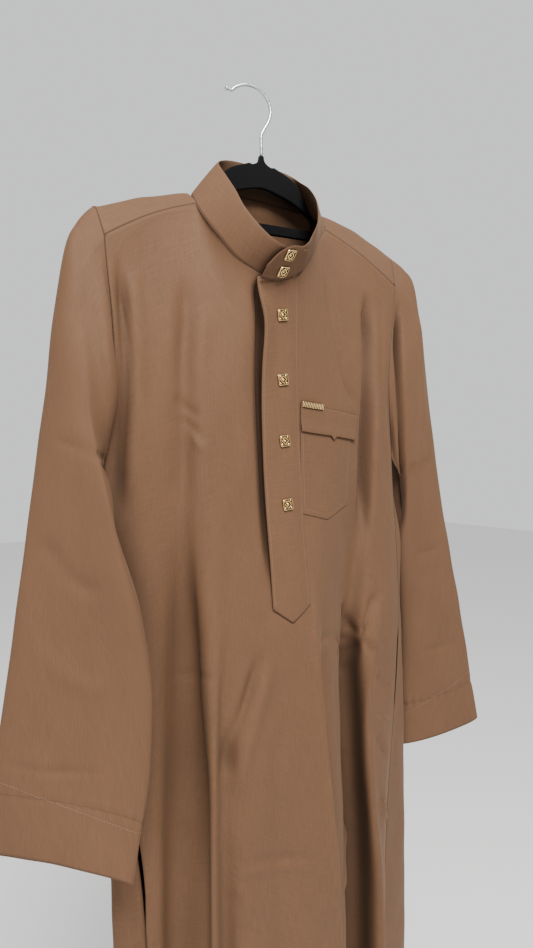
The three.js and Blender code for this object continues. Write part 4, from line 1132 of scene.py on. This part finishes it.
def on_front(x, z):
    """Front's point and normal at x, z: the tangent planes of its six nearest points, averaged with
    weights of one over the squared distance."""
    shape = x.shape
    x, z = x.ravel(), z.ravel()
    y, normal = np.empty(len(x)), np.empty((len(x), 3))
    for part in np.array_split(np.arange(len(x)), max(1, len(x) // 400)):
        gap = (front_points[:, 0] - x[part, None]) ** 2 + (front_points[:, 2] - z[part, None]) ** 2
        near = np.argpartition(gap, 6, axis=1)[:, :6]
        weight = 1 / (np.take_along_axis(gap, near, 1) + 0.5)
        weight /= weight.sum(1, keepdims=True)
        p, n = front_points[near], front_normals[near]
        slope = n[..., 0] * (x[part, None] - p[..., 0]) + n[..., 2] * (z[part, None] - p[..., 2])
        plane = p[..., 1] - slope / n[..., 1]
        y[part] = (plane * weight).sum(1)
        normal[part] = unit((n * weight[..., None]).sum(1))
    return np.stack([x, y, z], -1).reshape(shape + (3,)), normal.reshape(shape + (3,))


def rounded_patch(name, node, x, z, lift, thick):
    """A patch over the front at x, z, whose outer face drops round its edges within 1 mm."""
    point, normal = on_front(x, z)
    from_start = np.minimum(arc_lengths(point, 0), arc_lengths(point, 1))
    from_end = np.minimum(arc_lengths(point[::-1], 0)[::-1], arc_lengths(point[:, ::-1], 1)[:, ::-1])
    full = np.sqrt(np.clip(np.minimum(from_start, from_end) / 1.2, 0.12, 1))
    outer = point + normal * (lift + thick * full)[..., None]
    inner = point + normal * np.broadcast_to(lift, full.shape)[..., None]
    return cloth_piece(name, node, outer, inner, -1), outer, normal


def four_sided(shape, u, v):
    """x and z inside a four-sided outline whose foot may hang down to a point in its middle."""
    x = mix(*shape["top_x"], u) * (1 - v) + mix(*shape["foot_x"], u) * v
    low = mix(*shape["foot"], u) - shape["point"] * (1 - np.abs(2 * u - 1))
    return x, mix(*shape["top"], u) * (1 - v) + low * v


def dense_ends(count):
    """count places from 0 to 1 with three closer ones at each end, where an edge is rounded."""
    return np.concatenate([[0, 0.008, 0.02], np.linspace(0.045, 0.955, count), [0.98, 0.992, 1]])


# %% Placket
# How far the placket's free edge strays sideways, and how far it stands off the front.
PLACKET_STRAY = {"z": [-230, -241, -256, -280, -330, -400, -600], "x": [-6.5, -6.5, -4, 1.0, -0.5, -1.5, 0]}
PLACKET_OFF = {"z": [-230, -240, -262, -300, -360, -430, -520, -600],
               "off": [0, 0.6, 3.0, 3.6, 3.0, 2.0, 1.0, 0.2]}
PLACKET_TOP = (-236, -228)
placket_u, placket_v = np.meshgrid(dense_ends(22), np.linspace(0, 1, 120))
placket_low = PLACKET_END_Z - PLACKET_POINT * (1 - np.abs(2 * placket_u - 1))
placket_z = mix(mix(*PLACKET_TOP, placket_u), placket_low, placket_v)
free = 1 - smooth(0, 0.45, placket_u)
by_height = lambda heights, values: through(heights, values, placket_z.ravel()).reshape(placket_z.shape)
stray = by_height(PLACKET_STRAY["z"], PLACKET_STRAY["x"]) * free
placket_x = by_height(PLACKET_Z, PLACKET_X) + (placket_u - 0.5) * PLACKET_WIDTH + stray
sewn_flat = 1 - 0.65 * smooth(0.7, 1, placket_u)
placket_lift = LIFT * sewn_flat + by_height(PLACKET_OFF["z"], PLACKET_OFF["off"]) * free
placket, placket_outer, placket_normal = rounded_patch(
    "button_placket", "placket", placket_x, placket_z, placket_lift, PLACKET_WALL * sewn_flat)

# %% Chest pocket and its band
# Outlines: x of the upper and lower corners, z of the upper and lower corners, depth of the point.
POCKET = {"top_x": (17, 109), "foot_x": (17, 102), "top": (-372, -381), "foot": (-490, -485), "point": 12}
POCKET_BAND = {"top_x": (17, 122), "foot_x": (17, 114), "top": (-367, -377), "foot": (-398, -407), "point": 0}
POCKET_TRIM = {"top_x": (18, 52), "foot_x": (18, 51), "top": (-364.5, -367), "foot": (-370.5, -373),
               "point": 0}
TAB_X, TAB_HALF, TAB_DEPTH = 70, 4.5, 5      # the small point on the band's lower edge
pocket_u, pocket_v = np.meshgrid(dense_ends(30), dense_ends(36))
pocket, pocket_outer, pocket_normal = rounded_patch(
    "chest_patch_pocket", "chest_pocket", *four_sided(POCKET, pocket_u, pocket_v), LIFT / 2, CLOTH / 2)
band_u, band_v = np.meshgrid(dense_ends(60), dense_ends(10))
band_x, band_z = four_sided(POCKET_BAND, band_u, band_v)
to_foot = smooth(0.5, 1, band_v)
band_z -= TAB_DEPTH * np.maximum(0, 1 - np.abs(band_x - TAB_X) / TAB_HALF) * to_foot
band_lift = LIFT + CLOTH / 2 + 1.4 * to_foot
band, _, _ = rounded_patch("chest_pocket_flap", "chest_pocket_band", band_x, band_z, band_lift, CLOTH * 0.7)

# %% [markdown]
# The gilt bar on the pocket is a strip with a raised rim and slanting ribs between sunk slots.
# One height function makes both: the rim where the edge is near, and a cosine across the slant.

# %% Gilt bar
TRIM_LENGTH, TRIM_WIDTH, RIB_PITCH = 34.0, 6.0, 4.4
trim_u, trim_v = np.meshgrid(np.linspace(0, 1, 171), np.linspace(0, 1, 31))
along_mm, across_mm = trim_u * TRIM_LENGTH, trim_v * TRIM_WIDTH
to_end = np.minimum(along_mm, TRIM_LENGTH - along_mm)
to_rim = np.minimum(to_end, np.minimum(across_mm, TRIM_WIDTH - across_mm))
rib = 0.5 + 0.5 * np.cos(2 * math.pi * (along_mm - 0.75 * across_mm) / RIB_PITCH)
raised = np.maximum(1 - smooth(0.3, 0.6, to_rim), smooth(0.5, 0.66, rib))
trim_height = 0.2 + 1.3 * raised * smooth(-0.2, 0.25, to_rim)
trim_point, trim_normal = on_front(*four_sided(POCKET_TRIM, trim_u, trim_v))
trim_lift = LIFT + CLOTH + 0.6
trim_points = np.concatenate([
    (trim_point + trim_normal * (trim_lift + trim_height)[..., None]).reshape(-1, 3),
    (trim_point + trim_normal * trim_lift).reshape(-1, 3),
])
make_mesh("gilt_pocket_bar", trim_points, wall_faces(*trim_u.shape, -1), GILT, "pocket_trim")


# %% [markdown]
# ## Buttons
# Each button is a square cast plate: a raised frame round a sunk field, a lozenge with a round boss
# in the middle, and a bead in each corner. The plate is one profile carried round a path that is
# square outside and turns into a lozenge inside; the path is |x|^n + |y|^n = 1 with n by radius.

# %% Button
BUTTON_PROFILE = [
    # half size, height, squareness n of the path
    (0.01, 0.0, 8), (6.2, 0.0, 8), (6.2, 1.4, 8), (5.95, 1.7, 8), (5.5, 1.7, 8), (5.25, 0.4, 8),
    (4.9, 0.35, 3), (4.6, 0.35, 1.15), (4.4, 1.8, 1.08), (3.3, 1.8, 1.05), (3.0, 0.5, 1.1),
    (1.8, 0.4, 2), (1.6, 1.2, 2), (0.9, 1.7, 2), (0.01, 1.85, 2),
]


BEAD_PLACE, BEAD_RADIUS, BEAD_HEIGHT, BEAD_FOOT = 3.9, 1.35, 1.4, 0.3


def button_points():
    """Vertices and quads of one button, its back on the plane z = 0."""
    angle = np.linspace(0, 2 * math.pi, 64, endpoint=False)
    size, height, power = np.array(BUTTON_PROFILE).T[:, :, None]
    cos, sin = np.cos(angle), np.sin(angle)
    radius = size / (np.abs(cos) ** power + np.abs(sin) ** power) ** (1 / power)
    plate = np.stack([radius * cos, radius * sin, np.broadcast_to(height, radius.shape)], -1)
    points = [plate.reshape(-1, 3)]
    quads = [ring_faces(*plate.shape[:2])[:, TURNED_OVER]]
    for x, y in ((1, 1), (-1, 1), (-1, -1), (1, -1)):
        bead, bead_faces = dome(BEAD_RADIUS, BEAD_HEIGHT)
        quads.append(bead_faces + sum(len(p) for p in points))
        points.append(bead + [x * BEAD_PLACE, y * BEAD_PLACE, BEAD_FOOT])
    return np.concatenate(points), np.concatenate(quads)


def dome(radius, height):
    """A closed half ball of 16 by 7 points, squashed to its height."""
    turn, rise = np.meshgrid(np.linspace(0, 2 * math.pi, 16, endpoint=False), np.linspace(0, math.pi / 2, 6))
    shell = np.stack([radius * np.cos(rise) * np.cos(turn), radius * np.cos(rise) * np.sin(turn),
                      height * np.sin(rise)], -1)
    shell = np.concatenate([shell[:1] * [0.02, 0.02, 1], shell])
    return shell.reshape(-1, 3), ring_faces(7, 16)[:, TURNED_OVER]


def sew_button(name, node, place, normal, level):
    """Puts a button on place: its face along normal, its sides along level."""
    across = unit(level - normal * (level @ normal))
    basis = np.stack([across, np.cross(normal, across), normal])
    points, quads = button_points()
    button = make_mesh(name, place + points @ basis, quads, GILT, node)
    button.modifiers.new("edges", "EDGE_SPLIT").split_angle = math.radians(50)


middle_col = placket_u.shape[1] // 2
for number, z in enumerate(BUTTON_Z, 1):
    row = np.abs(placket_z[:, middle_col] - z).argmin()
    normal = unit(placket_normal[row, middle_col])
    place = placket_outer[row, middle_col] + normal * 0.4
    across = placket_outer[row, middle_col + 3] - placket_outer[row, middle_col - 3]
    sew_button(f"placket_stud_{number}", f"button_{number}", place, normal, across)
for number, share_up in enumerate(COLLAR_BUTTONS, 1):
    t = np.array([0.45, 0.5, 0.55])
    low, high = along(over_seam, t), along(over_edge, t)
    normal = unit(np.cross(high[1] - low[1], low[2] - low[0]))
    normal *= -np.sign(normal[1])
    place = low[1] + (high[1] - low[1]) * share_up + normal * 0.9
    sew_button(f"collar_stud_{number}", f"collar_button_{number}", place, normal, np.array([1.0, 0, 0]))
print("buttons:", len(BUTTON_Z) + len(COLLAR_BUTTONS))


# %% [markdown]
# ## Stitching
# A lockstitch shows as short, plump dashes of thread, each a little sunk at its ends. One dash is a
# stretched ball, and a run of them is placed by arc length along a line on the cloth.

# %% Stitches
STITCH_PITCH, STITCH_LENGTH, THREAD_RADIUS = 3.0, 2.3, 0.28


def stitch_run(line, normals):
    """Dashes along a line: centres every pitch, each a ball stretched along the line."""
    length = np.concatenate([[0], np.cumsum(np.linalg.norm(np.diff(line, axis=0), axis=1))])
    at = np.arange(STITCH_PITCH / 2, length[-1] - STITCH_PITCH / 2, STITCH_PITCH)
    centre, up = read_rows(at, length, line), unit(read_rows(at, length, normals))
    run = unit(read_rows(at + 0.8, length, line) - read_rows(at - 0.8, length, line))
    beside = np.cross(up, run)
    turn, rise = np.meshgrid(np.linspace(0, 2 * math.pi, 6, endpoint=False), np.linspace(0, math.pi, 6))
    ball = np.stack([np.cos(rise) * STITCH_LENGTH / 2, np.sin(rise) * np.cos(turn) * THREAD_RADIUS * 1.2,
                     np.sin(rise) * np.sin(turn) * THREAD_RADIUS], -1).reshape(-1, 3)
    points = centre[:, None] + ball[:, :1] * run[:, None] + ball[:, 1:2] * beside[:, None]
    points += ball[:, 2:] * up[:, None]
    faces = ring_faces(6, 6)[None] + (np.arange(len(at)) * len(ball))[:, None, None]
    return points.reshape(-1, 3), faces.reshape(-1, 4)


def sew(name, runs):
    """One mesh of several runs of stitches, each given as (line, normals)."""
    points, faces, count = [], [], 0
    for line, normals in runs:
        p, f = stitch_run(line, normals)
        points.append(p)
        faces.append(f + count)
        count += len(p)
    piece = make_mesh(name, np.concatenate(points), np.concatenate(faces), THREAD)
    print(f"{name}: {count // 36} stitches")
    return piece


def patch_line(outer, normals, rows, cols, sink=0.1):
    """A line over a patch by fractional row and column, a little sunk into it."""
    row, col = np.broadcast_arrays(np.asarray(rows, float), np.asarray(cols, float))
    r0, c0 = np.floor(row).astype(int), np.floor(col).astype(int)
    r1, c1 = np.minimum(r0 + 1, outer.shape[0] - 1), np.minimum(c0 + 1, outer.shape[1] - 1)
    fr, fc = (row - r0)[:, None], (col - c0)[:, None]
    beside = lambda a, r: a[r, c0] * (1 - fc) + a[r, c1] * fc
    between = lambda a: beside(a, r0) * (1 - fr) + beside(a, r1) * fr
    normal = unit(between(normals))
    return between(outer) - normal * sink, normal


# %% Runs of stitches
last_row, last_col = placket_outer.shape[0] - 1, placket_outer.shape[1] - 1
down_rows = np.linspace(1, last_row - 0.8, 200)
placket_stitches = sew("placket_stitching", [
    patch_line(placket_outer, placket_normal, down_rows, 3.2),
    patch_line(placket_outer, placket_normal, down_rows, last_col - 3.2),
    patch_line(placket_outer, placket_normal, last_row - 0.8, np.linspace(3.2, last_col - 3.2, 60)),
])
pr, pc = pocket_outer.shape[0] - 1, pocket_outer.shape[1] - 1
pocket_stitches = sew("pocket_stitching", [
    *[patch_line(pocket_outer, pocket_normal, np.linspace(10, pr - 3, 80), col) for col in (pc - 3.0, 3.0)],
    patch_line(pocket_outer, pocket_normal, pr - 3.0, np.linspace(3, pc - 3, 80)),
])
hem_row = np.abs(front_hem[:, 0]).argmin()
hem_stitches = sew("hem_stitching", [
    (front_surface[hem_row], grid_normals(front_surface, -1)[hem_row]),
    (back_surface[hem_row], grid_normals(back_surface, 1)[hem_row]),
])
for side, surface in sleeve_surfaces.items():
    row = np.abs(sleeve_hems[side].mean(1)).argmin()
    normals = grid_normals(surface, SLEEVE_SIDE[side], wrap=True)[row]
    loop = [np.concatenate([values, values[:1]]) for values in (surface[row], normals)]
    sew(f"cuff_stitching_{side}", [tuple(loop)])
bag_x = np.linspace(134, 190, 30)
bag_z = np.interp(bag_x, [134, 155, 190], [-745, -756, -766])
near_bag = lambda x, z: ((front_surface[..., 0] - x) ** 2 + (front_surface[..., 2] - z) ** 2).argmin()
bag_ids = [near_bag(x, z) for x, z in zip(bag_x, bag_z)]
bag_normals = grid_normals(front_surface, -1).reshape(-1, 3)[bag_ids]
pocket_bag_stitches = sew("pocket_bag_stitching", [(front_surface.reshape(-1, 3)[bag_ids], bag_normals)])

# %% [markdown]
# ## Hanger and hook
# The flocked board is a filled outline with a hole, so it is drawn as a flat curve: extruding gives
# it its thickness, and the curve's bevel its rounded edges. The hook is a circle carried along a
# path: stem, bend, arc over the bearing, turned-up tip.

# %% Hanger board
BOARD_WALL = 6.0
BOARD_EDGE = 1.5       # radius of its rounded edges
ARM_END = 190
ARM_R = [-27, 0, 27, 43, 52, 60, 68, 77, 92, 110, 140, 165, 190]
ARM_TOP = [-91.5, -84, -91.5, -98, -105, -116, -130, -143.6, -145.3, -145.5, -151.5, -159, -166.5]
ARM_FOOT = [-120, -115, -120, -125, -129, -133, -138, -144, -150, -155, -164, -170, -175]
BAR_TOP, BAR_HOLE, BAR_END = -155, 99, 150
NECK_OUTLINE = [(2.6, -77.5), (3.2, -82), (4.6, -84.6), (8, -87), (13, -88.9)]


def arm_edge(heights, r):
    """Points (r, z) of an arm's upper or lower edge, leaning with the hanger."""
    r = np.asarray(r, float)
    return np.stack([r, through(ARM_R, heights, np.abs(r)) + TILT * r], -1)


def neck_outline(side):
    """Points of the board's neck on one side, from the top down."""
    r, z = np.array(NECK_OUTLINE).T
    return np.stack([side * r, z + TILT * side * r], -1)


board_outline = np.concatenate([
    arm_edge(ARM_TOP, np.linspace(-ARM_END, -18, 70)),
    neck_outline(-1)[::-1],
    neck_outline(1),
    arm_edge(ARM_TOP, np.linspace(18, ARM_END, 70)),
    [[ARM_END + 4, -168 + TILT * ARM_END], [ARM_END + 4, -172 + TILT * ARM_END]],
    arm_edge(ARM_FOOT, np.linspace(ARM_END, BAR_END, 16)),
    arm_edge(ARM_FOOT, np.linspace(-BAR_END, -ARM_END, 16)),
    [[-ARM_END - 4, -172 - TILT * ARM_END], [-ARM_END - 4, -168 - TILT * ARM_END]],
])
board_hole = np.concatenate([
    arm_edge(ARM_FOOT, np.linspace(BAR_HOLE, -BAR_HOLE, 80)),
    [[-BAR_HOLE, BAR_TOP - TILT * BAR_HOLE], [BAR_HOLE, BAR_TOP + TILT * BAR_HOLE]],
])


def flat_board(name, loops):
    """A filled 2-D curve of the loops, as thick as the board, with its edges rounded, as a mesh."""
    curve = bpy.data.curves.new(name, "CURVE")
    curve.dimensions = "2D"
    curve.fill_mode = "BOTH"
    curve.extrude = (BOARD_WALL / 2 - BOARD_EDGE) / 1000
    curve.bevel_depth = BOARD_EDGE / 1000
    curve.bevel_resolution = 3
    curve.offset = -BOARD_EDGE / 1000
    for loop in loops:
        spline = curve.splines.new("POLY")
        spline.points.add(len(loop) - 1)
        flat = np.column_stack([loop / 1000, np.zeros(len(loop)), np.ones(len(loop))])
        spline.points.foreach_set("co", flat.astype(np.float32).ravel())
        spline.use_cyclic_u = True
    drawn = bpy.data.objects.new(name, curve)
    bpy.context.scene.collection.objects.link(drawn)
    mesh = bpy.data.meshes.new_from_object(drawn.evaluated_get(bpy.context.evaluated_depsgraph_get()))
    bpy.data.objects.remove(drawn)
    bpy.data.curves.remove(curve)
    return mesh


board_mesh = flat_board("flocked_board", [board_outline, board_hole])
stand = Matrix.Translation((CENTRE_X - BEARING[0], HANGER_Y - BEARING[1], 0))
stand.translation /= 1000
stand @= Matrix.Rotation(math.pi / 2, 4, "X")
builder = bmesh.new()
builder.from_mesh(board_mesh)
bmesh.ops.transform(builder, matrix=stand, verts=builder.verts)
bmesh.ops.remove_doubles(builder, verts=builder.verts, dist=2e-6)
bmesh.ops.recalc_face_normals(builder, faces=builder.faces)
print("board: open edges", sum(not edge.is_manifold for edge in builder.edges))
builder.to_mesh(board_mesh)
builder.free()
board_mesh.materials.clear()
board_mesh.materials.append(FLOCK)
board = bpy.data.objects.new("flocked_board", board_mesh)
bpy.context.scene.collection.objects.link(board)
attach(board, "root")
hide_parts("hanger")

# %% Hook
HOOK_STEM = [(7.7, -77.2), (7.7, -64), (7.7, -54), (10.5, -47), (16, -37.5)]
HOOK_TIP = [(-28.2, -7), (-31, -6.4)]
WIRE_SIDES = 20
BALL_COLS, BALL_ROWS = 24, 17


def hook_path():
    """Stem, ten points of the arc from -4 to 130 degrees, and tip, in the hook's own turned plane."""
    centre = np.array([BEARING[0] / math.cos(HOOK_TURN), WIRE / 2 - HOOK_RADIUS])
    angle = np.radians(np.linspace(-4, 130, 10))
    arc = centre + HOOK_RADIUS * np.stack([np.cos(angle), np.sin(angle)], -1)
    flat = np.concatenate([HOOK_STEM, arc, HOOK_TIP])
    h, z = flat.T
    return np.stack([h * math.cos(HOOK_TURN), h * math.sin(HOOK_TURN), z], -1)


hook_line = along(hook_path(), np.linspace(0, 1, 141))
hook_run = unit(np.gradient(hook_line, axis=0))
hook_side = np.array([-math.sin(HOOK_TURN), math.cos(HOOK_TURN), 0.0])
hook_out = np.cross(hook_run, hook_side)
around = np.linspace(0, 2 * math.pi, WIRE_SIDES, endpoint=False)
wire_radius = np.full(len(hook_line), WIRE / 2)
wire_radius[[0, -1]] *= 0.02
hook_line[1], hook_line[-2] = hook_line[0] + hook_run[0] * 0.02, hook_line[-1] - hook_run[-1] * 0.02
ring = np.cos(around)[:, None] * hook_out[:, None] + np.sin(around)[:, None] * hook_side
hook_tube = hook_line[:, None] + ring * wire_radius[:, None, None]
hook_faces = ring_faces(len(hook_line), WIRE_SIDES)
make_mesh("wire_hook", hook_tube.reshape(-1, 3), hook_faces, CHROME, "hanger_hook")

turn = np.linspace(0, 2 * math.pi, BALL_COLS, endpoint=False)
turn, rise = np.meshgrid(turn, np.linspace(0.02, math.pi - 0.02, BALL_ROWS))
ball = np.stack([np.sin(rise) * np.cos(turn), np.sin(rise) * np.sin(turn), np.cos(rise)], -1) * BALL_RADIUS
ball_place = hook_line[-1] + hook_run[-1] * (BALL_RADIUS + 0.3)
ball_points, ball_faces = ball_place + ball.reshape(-1, 3), ring_faces(BALL_ROWS, BALL_COLS)
make_mesh("hook_ball", ball_points, ball_faces, CHROME, "hanger_hook_ball")
print("hook of", hook_tube.shape[0], "rings")

# %% [markdown]

# %% [markdown]
# ## Studio
# A pale floor well below the hem, an even pale surrounding, and one large soft light from in front
# and above, a little to the camera's left, with a weak fill from further left.

# %% Floor and lights
FLOOR_Z = -1.64
FLOOR_HALF = 9
floor_material, floor_tree, floor_shader = new_material("painted_floor")
fill(floor_tree, floor_shader, {"Base Color": colour("#e4e4e2"), "Roughness": 0.9})
floor_mesh = bpy.data.meshes.new("floor")
corners = [(x * FLOOR_HALF, y * FLOOR_HALF, FLOOR_Z) for x, y in ((-1, -1), (1, -1), (1, 1), (-1, 1))]
floor_mesh.from_pydata(corners, [], [(0, 1, 2, 3)])
floor_mesh.materials.append(floor_material)
floor = bpy.data.objects.new("floor", floor_mesh)
bpy.context.scene.collection.objects.link(floor)
floor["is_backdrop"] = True

world = bpy.data.worlds.new("surround")
world.use_nodes = True
world.node_tree.nodes["Background"].inputs[0].default_value = colour("#e6e7e8")
world.node_tree.nodes["Background"].inputs[1].default_value = 1.15
bpy.context.scene.world = world


def soft_light(name, place, target, size, power):
    """A square area light at place, turned to face target."""
    data = bpy.data.lights.new(name, "AREA")
    data.shape = "SQUARE"
    data.size = size
    data.energy = power
    lamp = bpy.data.objects.new(name, data)
    lamp.location = place
    forward = unit(np.array(target, float) - place)
    flat_turn = math.atan2(forward[0], -forward[1])
    lamp.rotation_euler = (math.acos(-forward[2]), 0, flat_turn + math.pi)
    bpy.context.scene.collection.objects.link(lamp)


soft_light("window", (-0.75, -2.0, 1.75), (0, 0, -0.65), 1.1, 260)
soft_light("fill", (-2.2, -1.5, 0.2), (0, 0, -0.7), 2.0, 22)

# %% Sizes and the end
low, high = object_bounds()
print("visual box", [round(v, 4) for v in low], [round(v, 4) for v in high])
